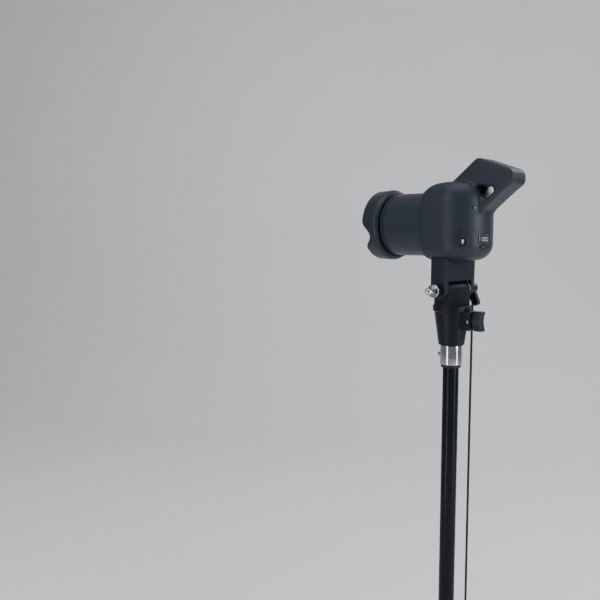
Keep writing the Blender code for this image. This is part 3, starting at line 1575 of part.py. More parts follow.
def through_points(route, spacing):
    """Points a steady distance apart on a smooth curve through a hand-laid route."""
    points = [Vector(point) for point in route]
    ends = [2 * points[0] - points[1], *points, 2 * points[-1] - points[-2]]
    fine = []
    for before, here, after, beyond in zip(ends, ends[1:], ends[2:], ends[3:]):
        for step in range(SPLINE_STEPS):
            t = step / SPLINE_STEPS
            bend = (2 * before - 5 * here + 4 * after - beyond) * t * t
            twist = (3 * here - before - 3 * after + beyond) * t ** 3
            fine.append((2 * here + (after - before) * t + bend + twist) / 2)
    fine.append(points[-1])
    lengths = [0.0]
    for here, after in zip(fine, fine[1:]):
        lengths.append(lengths[-1] + (after - here).length)
    count = max(round(lengths[-1] / spacing), 1)
    spaced = []
    place = 0
    for step in range(count + 1):
        goal = lengths[-1] * step / count
        while place < len(fine) - 2 and lengths[place + 1] < goal:
            place += 1
        span = lengths[place + 1] - lengths[place]
        spaced.append(fine[place].lerp(fine[place + 1], (goal - lengths[place]) / span))
    return spaced, lengths[-1]


def tube(name, points, diameter, material, resolution=2):
    """A round tube along points, as a curve with closed ends."""
    curve = bpy.data.curves.new(name, "CURVE")
    curve.dimensions = "3D"
    curve.bevel_depth = diameter / 2
    curve.bevel_resolution = resolution
    curve.use_fill_caps = True
    line = curve.splines.new("POLY")
    line.points.add(len(points) - 1)
    for point, spot in zip(line.points, points):
        point.co = (*spot, 1)
    made = bpy.data.objects.new(name, curve)
    PARTS.objects.link(made)
    curve.materials.append(own(material, name))
    return made


def coil_points(start):
    """A tied coil in two layers: it spirals in, climbs a layer as it turns back, and spirals out."""
    turns = 2 * COIL_TURNS_PER_LAYER
    count = turns * COIL_TURN_POINTS
    centre = start + Vector((0, COIL_OUTER_RADIUS, -CORD_DIAMETER))
    points = [start.copy()]
    for step in range(count + 1):
        turn = step / COIL_TURN_POINTS
        depth = COIL_TURNS_PER_LAYER - abs(turn - COIL_TURNS_PER_LAYER)
        radius = COIL_OUTER_RADIUS - COIL_PITCH * depth
        climb = min(max((turn - COIL_TURNS_PER_LAYER) * 2 + 0.5, 0), 1)
        layer = COIL_LAYER_STEP * climb * climb * (3 - 2 * climb)
        angle = math.pi + 2 * math.pi * turn
        points.append(centre + Vector((-layer, radius * math.cos(angle), radius * math.sin(angle))))
    points.append(points[-1] - Vector((0, 0, CORD_DIAMETER)))
    return points, centre


def least_gap(points):
    """The smallest clear distance between strands of the coil that aren't neighbours along it."""
    apart = COIL_TURN_POINTS // 3
    least = min(
        (a - b).length
        for i, a in enumerate(points)
        for b in points[i + apart:]
    )
    return least - CORD_DIAMETER


def path_length(points):
    return sum((b - a).length for a, b in zip(points, points[1:]))


def make_cord():
    run, run_length = through_points(CORD_ROUTE, CORD_STEP)
    run.insert(1, Vector(CORD_ROUTE[1]))
    tube("power_cord", run, CORD_DIAMETER, RUBBER)
    coil, centre = coil_points(run[-1] - Vector((0, 0, GAP)))
    tube("cord_coil", coil, CORD_DIAMETER, RUBBER, 1)
    tail_top = coil[-1] - Vector((0, 0, GAP))
    tail_end = tail_top - Vector((0, 0, TAIL_LENGTH))
    tube("cord_tail", [tail_top.lerp(tail_end, step / 2) for step in range(3)], CORD_DIAMETER, RUBBER)
    print("cord length", round(run_length + path_length(coil) + TAIL_LENGTH, 4))
    print("least gap in the coil", round(least_gap(coil), 5))
    make_tie(centre)
    make_plug(tail_end)


def make_tie(centre):
    """The strap round the top of the coil."""
    inner_radius = COIL_OUTER_RADIUS - COIL_PITCH * COIL_TURNS_PER_LAYER
    sag = TIE_WIDTH ** 2 / (8 * inner_radius)
    low = inner_radius - CORD_DIAMETER / 2 - sag - GAP
    high = COIL_OUTER_RADIUS + CORD_DIAMETER / 2 + GAP
    half = (COIL_LAYER_STEP + CORD_DIAMETER) / 2 + GAP
    hole = rectangle(2 * half, high - low, CORD_DIAMETER / 2)
    rounding = CORD_DIAMETER / 2 + TIE_THICKNESS
    strap = rectangle(2 * half + 2 * TIE_THICKNESS, high - low + 2 * TIE_THICKNESS, rounding)
    place = (
        Matrix.Translation(centre + Vector((-COIL_LAYER_STEP / 2, 0, (low + high) / 2)))
        @ Matrix.Rotation(math.pi / 2, 4, "X")
    )
    outlines = [rounded_outline(strap, CORNER_STEPS), rounded_outline(hole, CORNER_STEPS)]
    flat_piece("cord_tie", outlines, TIE_WIDTH / 2, RUBBER, place)


def make_plug(top):
    """The low-voltage plug on the lead's end: a ribbed grip and a metal barrel."""
    downward = Matrix.Translation(top - Vector((0, 0, GAP))) @ Matrix.Rotation(math.pi, 4, "X")
    grip = PLUG_DIAMETER / 2
    neck = PLUG_NECK_DIAMETER / 2
    body_top = PLUG_NECK_LENGTH
    body_end = body_top + PLUG_GRIP_LENGTH
    solid_turned(
        "plug_grip",
        [
            (grip - KNOB_EDGE, body_end),
            (grip, body_end - KNOB_EDGE),
            (grip, body_top + KNOB_EDGE),
            (grip - KNOB_EDGE, body_top),
            (neck, body_top),
            (neck - SEAT_ROUNDING, 0),
        ],
        RUBBER,
        downward,
        SMALL_STEPS,
    )
    barrel_low = body_end + GAP
    rod(
        "plug_barrel",
        PLUG_BARREL_DIAMETER / 2,
        barrel_low,
        barrel_low + PLUG_BARREL_LENGTH,
        STEEL,
        downward,
        SMALL_STEPS,
        SEAT_ROUNDING,
    )


def carry(name, spot, nodes, base=None):
    """An empty on a joint's axis that carries one moving body, and is itself carried by base."""
    axis = bpy.data.objects.new(name, None)
    PARTS.objects.link(axis)
    axis.location = spot
    axis.empty_display_size = TUBE_DIAMETER
    if base is not None:
        axis.parent = base
        axis.matrix_parent_inverse = Matrix.Translation(-base.location)
    for node in nodes:
        piece = bpy.data.objects[node]
        piece.parent = axis
        piece.matrix_parent_inverse = Matrix.Translation(-axis.location)
    return axis


def make_axes():
    cord = ["power_cord", "cord_coil", "cord_tail", "cord_tie", "plug_grip", "plug_barrel"]
    on_head = [
        "neck_fork", "neck_screw_near", "neck_screw_far", "tilt_bolt", "friction_washer_near",
        "friction_washer_far", "bolt_spacer", "nut_washer", "dome_nut", "housing_right", "housing_left",
        "case_screw_1", "case_screw_2", "case_screw_3", "case_screw_4", "front_barrel", "bayonet_ring",
        "front_lens", "reflector", "led_board", "led_emitter", "heat_sink", "fan_frame", "driver_board",
        "display_window", "display_board", "potentiometer", "remote_sensor", "cable_gland", "strain_relief",
    ]
    on_bracket = ["bracket_socket", "boss_pin_near", "boss_pin_far", *cord]
    pan = carry("pan_axis", (0, 0, SOCKET_BOTTOM), on_bracket)
    carry("clamp_axis", (0, BOSS_REACH, BOSS_CENTRE), ["wing_knob", "clamp_screw"], pan)
    tilt = carry("tilt_axis", (0, 0, TILT_HEIGHT), on_head, pan)
    carry("lever_axis", (0, 0, TILT_HEIGHT), ["tilt_lever", "lever_screw"], tilt)
    carry("hood_axis", (0, -HOOD_REAR, AXIS_HEIGHT), ["petal_hood"], tilt)
    knob_spot = panel_place(KNOB_ANGLE, AXIS_HEIGHT - KNOB_DROP).translation
    carry("knob_axis", knob_spot, ["control_knob", "knob_shaft"], tilt)
    button_spot = panel_place(DISPLAY_ANGLE, AXIS_HEIGHT - BUTTON_DROP).translation
    carry("button_axis", button_spot, ["power_button"], tilt)
    carry("fan_axis", (0, 0, AXIS_HEIGHT), ["fan_rotor"], tilt)


make_stand()
make_socket()
make_clamp()
make_tilt()
make_housing()
make_neck_screws()
make_barrel()
make_hood()
make_light_engine()
make_panel()
make_gland()
make_cord()
make_axes()
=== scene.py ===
# %% [markdown]
# # A spotlight on its stand, finished in Blender
# The solids of this lamp were modelled earlier, piece by piece, and are loaded here as a fixed frame.
# This notebook gives them their looks: it sets up a small studio, makes the finishes, and models again
# the pieces whose curves, edges or small parts show. Everything is in metres, with +Z up. The tube
# stands on Z, and the lamp shines towards -Y.

# %% Load the frame
import json
import math

import bmesh
import bpy
from mathutils import Matrix, Vector

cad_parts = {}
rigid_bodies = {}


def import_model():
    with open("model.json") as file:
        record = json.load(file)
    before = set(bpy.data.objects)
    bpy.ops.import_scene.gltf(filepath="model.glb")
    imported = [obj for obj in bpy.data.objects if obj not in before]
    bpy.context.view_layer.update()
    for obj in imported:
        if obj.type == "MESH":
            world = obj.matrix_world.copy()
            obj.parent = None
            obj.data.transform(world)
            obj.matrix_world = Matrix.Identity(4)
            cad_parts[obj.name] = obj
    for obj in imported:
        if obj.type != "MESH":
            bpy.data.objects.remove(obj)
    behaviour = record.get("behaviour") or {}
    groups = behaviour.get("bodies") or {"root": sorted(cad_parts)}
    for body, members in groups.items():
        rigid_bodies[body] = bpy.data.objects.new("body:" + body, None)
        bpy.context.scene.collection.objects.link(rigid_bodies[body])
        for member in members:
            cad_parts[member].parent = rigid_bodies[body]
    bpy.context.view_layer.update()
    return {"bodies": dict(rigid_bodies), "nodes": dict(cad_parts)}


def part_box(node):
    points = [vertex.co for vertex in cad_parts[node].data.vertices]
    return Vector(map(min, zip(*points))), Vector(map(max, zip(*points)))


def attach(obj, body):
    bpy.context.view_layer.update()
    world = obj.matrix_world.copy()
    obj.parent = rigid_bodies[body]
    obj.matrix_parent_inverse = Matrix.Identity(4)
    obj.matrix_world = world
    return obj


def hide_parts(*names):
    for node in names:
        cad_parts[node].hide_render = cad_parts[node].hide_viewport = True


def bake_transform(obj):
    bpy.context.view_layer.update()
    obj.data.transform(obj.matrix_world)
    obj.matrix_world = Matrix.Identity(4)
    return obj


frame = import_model()
bodies = sorted(frame["bodies"])
print("bodies:", ", ".join(bodies))

# %% [markdown]
# ## Camera
# A camera is placed as a photographer would: first where it stands, then where it points. Turning it
# aside, rather than sliding the lens, keeps the lamp right of the middle with no lens shift.

# %% Place the camera
VIEW_SIDE = math.radians(124)
CAMERA_REACH = 0.95
CAMERA_HEIGHT = 0.711
CAMERA_PITCH = math.radians(5.2)
CAMERA_PAN = math.radians(12.69)
PIXELS_OF_FOCUS = 678.6
FRAME_PIXELS = 600

bpy.ops.object.camera_add()
camera = bpy.context.object
camera.name = "camera"
camera.location = (CAMERA_REACH * math.sin(VIEW_SIDE), -CAMERA_REACH * math.cos(VIEW_SIDE), CAMERA_HEIGHT)
camera.rotation_euler = (math.pi / 2 - CAMERA_PITCH, 0, VIEW_SIDE + CAMERA_PAN)
camera.data.sensor_width = 36
camera.data.lens = 36 * PIXELS_OF_FOCUS / FRAME_PIXELS
bpy.context.scene.camera = camera
print("camera at", [round(value, 3) for value in camera.location])

# %% [markdown]
# ## Floor and backdrop
# A studio sweep is one sheet that starts as floor and bends up behind the subject, so that no horizon
# shows. Here a plane's far edge is extruded up through a quarter circle with the spin operator.

# %% Helpers for selecting
def deselect():
    """Nothing stays selected, so that an operator acts on the new piece alone."""
    bpy.ops.object.select_all(action="DESELECT")


def chosen(piece):
    """Makes a piece the active one and the only one selected."""
    deselect()
    bpy.context.view_layer.objects.active = piece
    piece.select_set(True)


def open_up():
    """Enters edit mode with everything selected."""
    bpy.ops.object.mode_set(mode="EDIT")
    bpy.ops.mesh.select_all(action="SELECT")
# %% Make the sweep
SWEEP_RADIUS = 0.9
SWEEP_FRONT = 2.4
SWEEP_BACK = 1.3
SWEEP_HALF = 3.2
SWEEP_WALL = 3
SWEEP_STEPS = 24

deselect()
bpy.ops.mesh.primitive_plane_add(size=1)
sweep = bpy.context.object
sweep.name = "sweep"
away = Vector((-math.sin(VIEW_SIDE), math.cos(VIEW_SIDE), 0))
aside = Vector((math.cos(VIEW_SIDE), math.sin(VIEW_SIDE), 0))
for vertex, (along, across) in zip(sweep.data.vertices, ((-1, -1), (-1, 1), (1, -1), (1, 1))):
    reach = SWEEP_BACK if along > 0 else -SWEEP_FRONT
    vertex.co = away * reach + aside * across * SWEEP_HALF
bpy.ops.object.mode_set(mode="EDIT")
bpy.ops.mesh.select_all(action="DESELECT")
outline = bmesh.from_edit_mesh(sweep.data)
for edge in outline.edges:
    middle = (edge.verts[0].co + edge.verts[1].co) / 2
    edge.select_set((middle - away * SWEEP_BACK).length < 0.01)
bmesh.update_edit_mesh(sweep.data)
centre = away * SWEEP_BACK + Vector((0, 0, SWEEP_RADIUS))
bpy.ops.mesh.spin(steps=SWEEP_STEPS, angle=math.pi / 2, center=centre, axis=-aside)
bpy.ops.mesh.extrude_region_move(TRANSFORM_OT_translate={"value": (0, 0, SWEEP_WALL)})
bpy.ops.mesh.select_all(action="SELECT")
bpy.ops.mesh.normals_make_consistent(inside=False)
bpy.ops.object.mode_set(mode="OBJECT")
bpy.ops.object.shade_smooth()
print("sweep top", round(max(vertex.co.z for vertex in sweep.data.vertices), 2))

# %% [markdown]
# ## Shader nodes as Python
# Building node trees link by link is slow to read. One class holds a material and its Principled
# shader. Its node method makes any node: it sets the node's options first, and then fills its sockets
# with numbers or with other nodes' outputs. Short methods on top give what the finishes share.

# %% A material and its nodes
class Finish:
    """One material: a Principled shader and the nodes that feed it."""

    def __init__(self, name, **settings):
        self.material = bpy.data.materials.new(name)
        self.material.use_nodes = True
        self.tree = self.material.node_tree
        self.shader = self.tree.nodes["Principled BSDF"]
        self.place = self.node("TexCoord", {}, {}, "Object")
        for label, value in settings.items():
            self.set(label.replace("_", " ").title().replace("Ior", "IOR"), value)

    def fill(self, node, label, value):
        if isinstance(value, bpy.types.NodeSocket):
            self.tree.links.new(value, node.inputs[label])
        else:
            node.inputs[label].default_value = value

    def set(self, label, value):
        self.fill(self.shader, label, value)

    def node(self, kind, options, sockets, output=0):
        made = self.tree.nodes.new("ShaderNode" + kind)
        for option, value in options.items():
            setattr(made, option, value)
        for label, value in sockets.items():
            self.fill(made, label, value)
        return made.outputs[output]

    def noise(self, scale, detail=3.0, place=None, roughness=0.55):
        sockets = {"Vector": place or self.place, "Scale": scale, "Detail": detail, "Roughness": roughness}
        return self.node("TexNoise", {}, sockets)

    def cells(self, scale, feature):
        sockets = {"Vector": self.place, "Scale": scale}
        return self.node("TexVoronoi", {"feature": feature}, sockets, "Distance")

    def stretched(self, scale):
        return self.node("Mapping", {}, {"Vector": self.place, "Scale": scale})

    def between(self, field, low, high, start=0.3, stop=0.7):
        """Maps a field from its usual range, which for noise is 0.3 to 0.7, to another."""
        sockets = {"Value": field, "From Min": start, "From Max": stop, "To Min": low, "To Max": high}
        return self.node("MapRange", {}, sockets)

    def mixed(self, field, dark, light):
        sockets = {0: field, 6: (*dark, 1), 7: (*light, 1)}
        return self.node("Mix", {"data_type": "RGBA"}, sockets, 2)

    def worn(self, field, dark, light, smooth, rough, **limits):
        """One field shifts both the colour and the roughness."""
        self.set("Base Color", self.mixed(field, dark, light))
        self.set("Roughness", self.between(field, smooth, rough, **limits))

    def grained(self, height, strength, distance):
        sockets = {"Height": height, "Strength": strength, "Distance": distance}
        self.set("Normal", self.node("Bump", {}, sockets))


# %% [markdown]
# ## Light
# Dark plastic shows its form through soft reflections, not through its own colour. A wide panel
# overhead, one on each side and two tall low strips draw the long pale bands that such
# a lamp has in a catalogue picture, and a pale world fills the rest.

# %% Set the lights
LAMP_CENTRE = Vector((0, 0, 0.7))
PANELS = {
    # name: (towards the camera, aside, height), (width, length), power
    "overhead": ((0.3, 0, 2.3), (2.0, 1.4), 24),
    "key": ((1.3, -1.5, 1.5), (0.9, 1.2), 12),
    "fill": ((0.9, 1.7, 1.1), (0.7, 1.3), 24),
    "rim": ((-1.1, 1.0, 1.5), (0.6, 1.0), 10),
    "tall_strip": ((0.9, -0.75, 0.36), (0.16, 0.8), 4.2),
    "thin_strip": ((0.55, 1.2, 0.4), (0.12, 0.8), 4),
}
WORLD_COLOUR = (0.92, 0.94, 0.97, 1)
WORLD_STRENGTH = 0.3

for name, ((near, sideways, height), (width, length), power) in PANELS.items():
    spot = aside * sideways - away * near + Vector((0, 0, height))
    deselect()
    bpy.ops.object.light_add(type="AREA", location=spot)
    light = bpy.context.object
    light.name = name
    light.data.shape = "RECTANGLE"
    light.data.size = width
    light.data.size_y = length
    light.data.energy = power
    light.rotation_euler = (LAMP_CENTRE - spot).to_track_quat("-Z", "Y").to_euler()

world = bpy.data.worlds.new("pale_world")
bpy.context.scene.world = world
world.use_nodes = True
backdrop = world.node_tree.nodes["Background"].inputs
backdrop["Color"].default_value = WORLD_COLOUR
backdrop["Strength"].default_value = WORLD_STRENGTH

# %% [markdown]
# ## Finishes
# The case is moulded in charcoal plastic with a fine spark-eroded grain: a small-scale bump breaks the
# reflections up, and slow noise shifts the colour and gloss by a few per cent, as handling and flow
# marks do. The bracket, knobs and tube share that recipe with their own numbers.

# %% Floor and moulded plastics
def moulded(name, colour, roughness, grain=2600, depth=0.00004, tint=0.12, shine=0.3):
    """Injection-moulded plastic: spark-eroded grain, faint flow marks and rubbed patches."""
    skin = Finish(name, specular_ior_level=shine)
    dark, light = (tuple(value * share for value in colour) for share in (1 - tint, 1 + tint))
    skin.set("Base Color", skin.mixed(skin.noise(26, 2.0), dark, light))
    skin.set("Roughness", skin.between(skin.noise(60, 4.0), roughness - 0.05, roughness + 0.06))
    skin.grained(skin.noise(grain, 2.0, roughness=0.6), 0.55, depth)
    return skin.material


paper = Finish("sweep_paper", roughness=0.85)
paper.set("Base Color", paper.mixed(paper.noise(1.6, 2.0), (0.8, 0.81, 0.83), (0.86, 0.87, 0.885)))
sweep.data.materials.append(paper.material)
housing_plastic = moulded("housing_plastic", (0.0118, 0.0178, 0.0268), 0.44, shine=0.27)
bracket_plastic = moulded("bracket_plastic", (0.0036, 0.0056, 0.0096), 0.43, shine=0.16)
neck_plastic = moulded("neck_plastic", (0.0065, 0.012, 0.02), 0.44, shine=0.22)
knob_plastic = moulded("knob_plastic", (0.0065, 0.0095, 0.015), 0.4, grain=3400)
nylon = moulded("natural_nylon", (0.66, 0.65, 0.61), 0.42, depth=0.00002, tint=0.05)
print("moulded finishes made")

# %% [markdown]
# Metals are told apart by their roughness and their scratches. Chrome is nearly a mirror with a few
# hairlines, turned steel has rings about its axis, and the tube's black is a sprayed satin coat with
# the soft waves known as orange peel.

# %% Metals and paint
def turned_metal(name, colour, roughness):
    metal = Finish(name, metallic=1.0)
    dull = tuple(value * 0.86 for value in colour)
    metal.worn(metal.noise(40, 3.0), dull, colour, roughness - 0.06, roughness + 0.08)
    metal.grained(metal.noise(700, 2.0, metal.stretched((1.0, 0.35, 3.0))), 0.25, 0.00003)
    return metal.material


steel = turned_metal("turned_steel", (0.55, 0.56, 0.58), 0.28)
aluminium = turned_metal("extruded_aluminium", (0.72, 0.73, 0.75), 0.34)
plate = Finish("chrome_plate", metallic=1.0)
plate.worn(plate.noise(90, 3.0), (0.37, 0.36, 0.39), (0.48, 0.47, 0.5), 0.05, 0.13)
plate.grained(plate.noise(900, 2.0, plate.stretched((0.25, 1.0, 2.2))), 0.12, 0.00002)
chrome = plate.material
paint = Finish("satin_tube_paint", coat_weight=0.02, coat_roughness=0.12, specular_ior_level=0.09)
paint.worn(paint.noise(35, 4.0), (0.004, 0.005, 0.008), (0.007, 0.008, 0.012), 0.22, 0.34)
paint.grained(paint.noise(420, 1.5), 0.18, 0.00004)
tube_paint = paint.material
print("metal finishes made")

# %% [markdown]
# Rubber is matt and slightly dusty in its hollows. The lens is clear glass, the display window and the
# remote's eye are smoked plastic, and the reflector is vacuum-metallised with a dimpled skin that
# blurs the light source.

# %% Rubber, glass, reflector and boards
def circuit_board(name, base, track):
    board = Finish(name)
    sockets = {"Vector": board.place, "Scale": 160.0, "Mortar Size": 0.04, "Mortar": (*track, 1)}
    sockets.update({"Color1": (*base, 1), "Color2": (*base, 1)})
    board.set("Base Color", board.node("TexBrick", {"offset": 0.5}, sockets))
    board.set("Roughness", board.between(board.noise(120), 0.35, 0.55))
    return board.material


green_board = circuit_board("green_board", (0.015, 0.1, 0.05), (0.05, 0.22, 0.11))
white_board = circuit_board("white_board", (0.78, 0.79, 0.78), (0.62, 0.63, 0.62))
bloom = Finish("black_rubber", specular_ior_level=0.3)
bloom.worn(bloom.noise(140, 5.0), (0.006, 0.006, 0.008), (0.014, 0.014, 0.016), 0.55, 0.72)
bloom.grained(bloom.noise(1800, 2.0), 0.35, 0.00003)
rubber = bloom.material
glass = Finish("lens_glass", roughness=0.03, transmission_weight=1.0, ior=1.5)
glass.set("Base Color", glass.mixed(glass.noise(30, 3.0), (0.93, 0.95, 0.96), (0.97, 0.98, 0.99)))
clear_glass = glass.material
smoke = Finish("smoked_plastic", coat_weight=0.2)
smoke.worn(smoke.noise(80, 2.0), (0.01, 0.011, 0.015), (0.02, 0.021, 0.027), 0.14, 0.22)
smoked = smoke.material
mirror = Finish("dimpled_reflector", metallic=1.0)
mirror.set("Base Color", mirror.mixed(mirror.noise(50), (0.78, 0.79, 0.81), (0.88, 0.89, 0.9)))
mirror.set("Roughness", mirror.between(mirror.noise(200), 0.12, 0.2))
mirror.grained(mirror.cells(420, "SMOOTH_F1"), 0.6, 0.0006)
reflector_skin = mirror.material
gel = Finish("phosphor_gel")
gel.worn(gel.cells(700, "F1"), (0.9, 0.74, 0.22), (0.72, 0.52, 0.1), 0.18, 0.4, start=0.0, stop=0.6)
phosphor = gel.material
print("soft and clear finishes made")

# %% [markdown]
# Pieces that stay as they were loaded, most of them inside the case, only get their finish here.

# %% Dress the carried-over nodes
NODE_FINISHES = (
    (steel, ("spigot", "clamp_screw", "tilt_bolt", "neck_screw_near", "neck_screw_far")),
    (steel, ("potentiometer", "knob_shaft")),
    (nylon, ("friction_washer_near", "friction_washer_far")),
    (reflector_skin, ("reflector",)),
    (white_board, ("led_board",)),
    (phosphor, ("led_emitter",)),
    (aluminium, ("heat_sink",)),
    (bracket_plastic, ("fan_frame",)),
    (knob_plastic, ("fan_rotor",)),
    (green_board, ("driver_board", "display_board")),
)
for finish, nodes in NODE_FINISHES:
    for node in nodes:
        for slot in frame["nodes"][node].material_slots:
            slot.material = finish
print("dressed", sum(len(nodes) for _, nodes in NODE_FINISHES), "nodes")

# %% [markdown]
# ## Places that the pieces share
# The frame already says where everything is. The lamp's axis, the tilt axis and the socket's ends are
# read from the boxes of the loaded solids, so that each new piece lands where its solid is.

# %% Read the shared places
QUARTER = math.pi / 2


def middle_of(node):
    low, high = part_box(node)
    return (low + high) / 2


def moved(x, y, z):
    return Matrix.Translation((x, y, z))


def spun(angle, axis):
    return Matrix.Rotation(angle, 4, axis)


AXIS_HEIGHT = middle_of("front_barrel").z
TILT_HEIGHT = middle_of("tilt_bolt").z
CLAMP_HEIGHT = middle_of("clamp_screw").z
SOCKET_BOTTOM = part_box("bracket_socket")[0].z
SOCKET_TOP = TILT_HEIGHT - 0.0215
HOUSING_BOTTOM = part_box("housing_right")[0].z
HOUSING_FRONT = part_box("housing_right")[0].y
BARREL_FRONT = -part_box("front_barrel")[0].y
PANEL_CENTRE_Y = 0.0095
HOUSING_RADIUS = 0.044
BOLT_BORE = 0.0043
BEAM = moved(0, 0, AXIS_HEIGHT) @ spun(QUARTER, "X")
TILT = moved(0, 0, TILT_HEIGHT) @ spun(QUARTER, "Y")
CLAMP = moved(0, 0, CLAMP_HEIGHT) @ spun(-QUARTER, "X")
SIDEWAYS = Matrix(((0, 0, 1, 0), (1, 0, 0, 0), (0, 1, 0, 0), (0, 0, 0, 1)))
UPRIGHT = Matrix.Identity(4)
print("lamp axis at", round(AXIS_HEIGHT, 4), "and tilt axis at", round(TILT_HEIGHT, 4))

# %% [markdown]
# ## Three ways to make a moulded or turned piece
# Nearly all of this lamp is turned, cut from a flat outline or skinned over rings, so three helpers do
# by script what a modeller does by hand. The first moves a circle's points onto half a cross-section
# and spins it. The second fills an outline, extrudes it and rounds its rims. The third stacks circles
# and bridges them.

# %% Turn, extrude and skin
def shaped(piece, kind, **settings):
    """Adds a modifier with its settings and applies it."""
    chosen(piece)
    step = piece.modifiers.new(kind.lower(), kind)
    for setting, value in settings.items():
        setattr(step, setting, value)
    bpy.ops.object.modifier_apply(modifier=step.name)
    return piece


def rounded(piece, width, segments=3, angle=40):
    """Bevels the edges that are sharper than an angle in degrees."""
    limit = {"limit_method": "ANGLE", "angle_limit": math.radians(angle)}
    return shaped(piece, "BEVEL", width=width, segments=segments, **limit)


def ring_of(count, name):
    deselect()
    bpy.ops.mesh.primitive_circle_add(vertices=count, radius=1, fill_type="NOTHING")
    bpy.context.object.name = name
    return bpy.context.object


def closed_up():
    """Merges doubles, drops loose edges and turns all faces outwards, in edit mode."""
    bpy.ops.mesh.select_all(action="SELECT")
    bpy.ops.mesh.remove_doubles(threshold=0.00001)
    bpy.ops.mesh.delete_loose()
    bpy.ops.mesh.select_all(action="SELECT")
    bpy.ops.mesh.normals_make_consistent(inside=False)
    bpy.ops.object.mode_set(mode="OBJECT")


def turned(name, profile, place, steps=96):
    """Spins a closed profile of (radius, height) points about a place's own Z."""
    piece = ring_of(len(profile), name)
    for vertex, (radius, height) in zip(piece.data.vertices, profile):
        vertex.co = place @ Vector((radius, 0, height))
    axis = place.to_3x3() @ Vector((0, 0, 1))
    open_up()
    bpy.ops.mesh.spin(steps=steps, angle=2 * math.pi, center=place.translation, axis=axis)
    closed_up()
    return piece


def pressed(name, outline, low, high, place, edge=0.0, segments=3):
    """Fills an outline, extrudes it along a place's own Z and rounds its rims."""
    piece = ring_of(len(outline), name)
    for vertex, (across, up) in zip(piece.data.vertices, outline):
        vertex.co = place @ Vector((across, up, low))
    open_up()
    bpy.ops.mesh.edge_face_add()
    rise = place.to_3x3() @ Vector((0, 0, high - low))
    bpy.ops.mesh.extrude_region_move(TRANSFORM_OT_translate={"value": rise})
    closed_up()
    return rounded(piece, edge, segments, 50) if edge else piece


def skinned(name, levels):
    """Bridges a stack of equal rings, lowest first, and caps both ends."""
    count = len(levels[0])
    piece = ring_of(count, name)
    bpy.ops.object.mode_set(mode="EDIT")
    bpy.ops.mesh.select_mode(type="EDGE")
    for _ in levels[1:]:
        bpy.ops.mesh.primitive_circle_add(vertices=count, radius=1, fill_type="NOTHING")
    mesh = bmesh.from_edit_mesh(piece.data)
    for vertex, point in zip(mesh.verts, [point for level in levels for point in level]):
        vertex.co = point
    for lower in range(len(levels) - 1):
        mesh.verts.index_update()
        for edge in mesh.edges:
            first, second = (vertex.index // count for vertex in edge.verts)
            edge.select_set(first == second and first in (lower, lower + 1))
        bpy.ops.mesh.bridge_edge_loops()
        mesh = bmesh.from_edit_mesh(piece.data)
    for end in (0, len(levels) - 1):
        mesh.verts.index_update()
        for edge in mesh.edges:
            edge.select_set(all(vertex.index // count == end for vertex in edge.verts))
        bpy.ops.mesh.edge_face_add()
        mesh = bmesh.from_edit_mesh(piece.data)
    closed_up()
    return piece


# %% [markdown]
# Cross-sections and outlines are lists of points. Most are given by their corners, which get their
# rounding from one function. A cut is a boolean with a piece that is thrown away afterwards.

# %% Draw an outline
def in_mm(*corners):
    """Corners written in millimetres, as metres."""
    return [tuple(value / 1000 for value in corner) for corner in corners]


def hexagon(radius, *more):
    turns = [side * math.pi / 3 for side in range(6)]
    return [(radius * math.cos(turn), radius * math.sin(turn), *more) for turn in turns]


def beside(radius, height, *offsets):
    """Profile points, each told by its offset in millimetres from one corner."""
    return [(radius + out / 1000, height + up / 1000) for out, up in offsets]


def soft_outline(corners, steps=8):
    """Points of a closed outline whose corners (across, up, radius) are rounded by arcs."""
    points = []
    for place, (across, up, radius) in enumerate(corners):
        here = Vector((across, up))
        if not radius:
            points.append(here)
            continue
        back = (Vector(corners[place - 1][:2]) - here).normalized()
        ahead = (Vector(corners[(place + 1) % len(corners)][:2]) - here).normalized()
        half = back.angle(ahead) / 2
        centre = here + (back + ahead).normalized() * (radius / math.sin(half))
        start = here + back * (radius / math.tan(half)) - centre
        end = here + ahead * (radius / math.tan(half)) - centre
        turn = math.atan2(start.cross(end), start.dot(end))
        for step in range(steps + 1):
            points.append(centre + Matrix.Rotation(turn * step / steps, 2) @ start)
    return points


def oblong(width, height, radius):
    """A rectangle with rounded corners."""
    signs = ((-1, -1), (1, -1), (1, 1), (-1, 1))
    return soft_outline([(width / 2 * x, height / 2 * y, radius) for x, y in signs])


# %% Cut, join, copy and mount
def carved(piece, tool, operation="DIFFERENCE"):
    """Cuts a tool out of a piece, or welds it on, and throws the tool away."""
    shaped(piece, "BOOLEAN", operation=operation, solver="EXACT", object=tool)
    bpy.data.objects.remove(tool, do_unlink=True)
    return piece


def one_tool(tools):
    """Joins cutters that don't touch, so that one cut does for all."""
    deselect()
    for tool in tools:
        tool.select_set(True)
    bpy.context.view_layer.objects.active = tools[0]
    bpy.ops.object.join()
    return tools[0]


def drilled(name, radius, low, high, place, steps=48):
    return turned(name, [(0, high), (radius, high), (radius, low), (0, low)], place, steps)


def bored(piece, radius, low, high, place, steps=48):
    """Drills a round hole between two heights of a place."""
    return carved(piece, drilled("bore_cutter", radius, low, high, place, steps))


def boxed(name, low, high, place, edge=0.0, segments=3):
    """A block between two corners of a place, its edges rounded."""
    outline = [(low[0], low[1]), (high[0], low[1]), (high[0], high[1]), (low[0], high[1])]
    return pressed(name, outline, low[2], high[2], place, edge, segments)


def copied(piece, name, shift=UPRIGHT):
    """The same piece again, moved, with a mesh of its own."""
    again = piece.copy()
    again.data = piece.data.copy()
    again.name = name
    bpy.context.collection.objects.link(again)
    again.data.transform(shift)
    return again


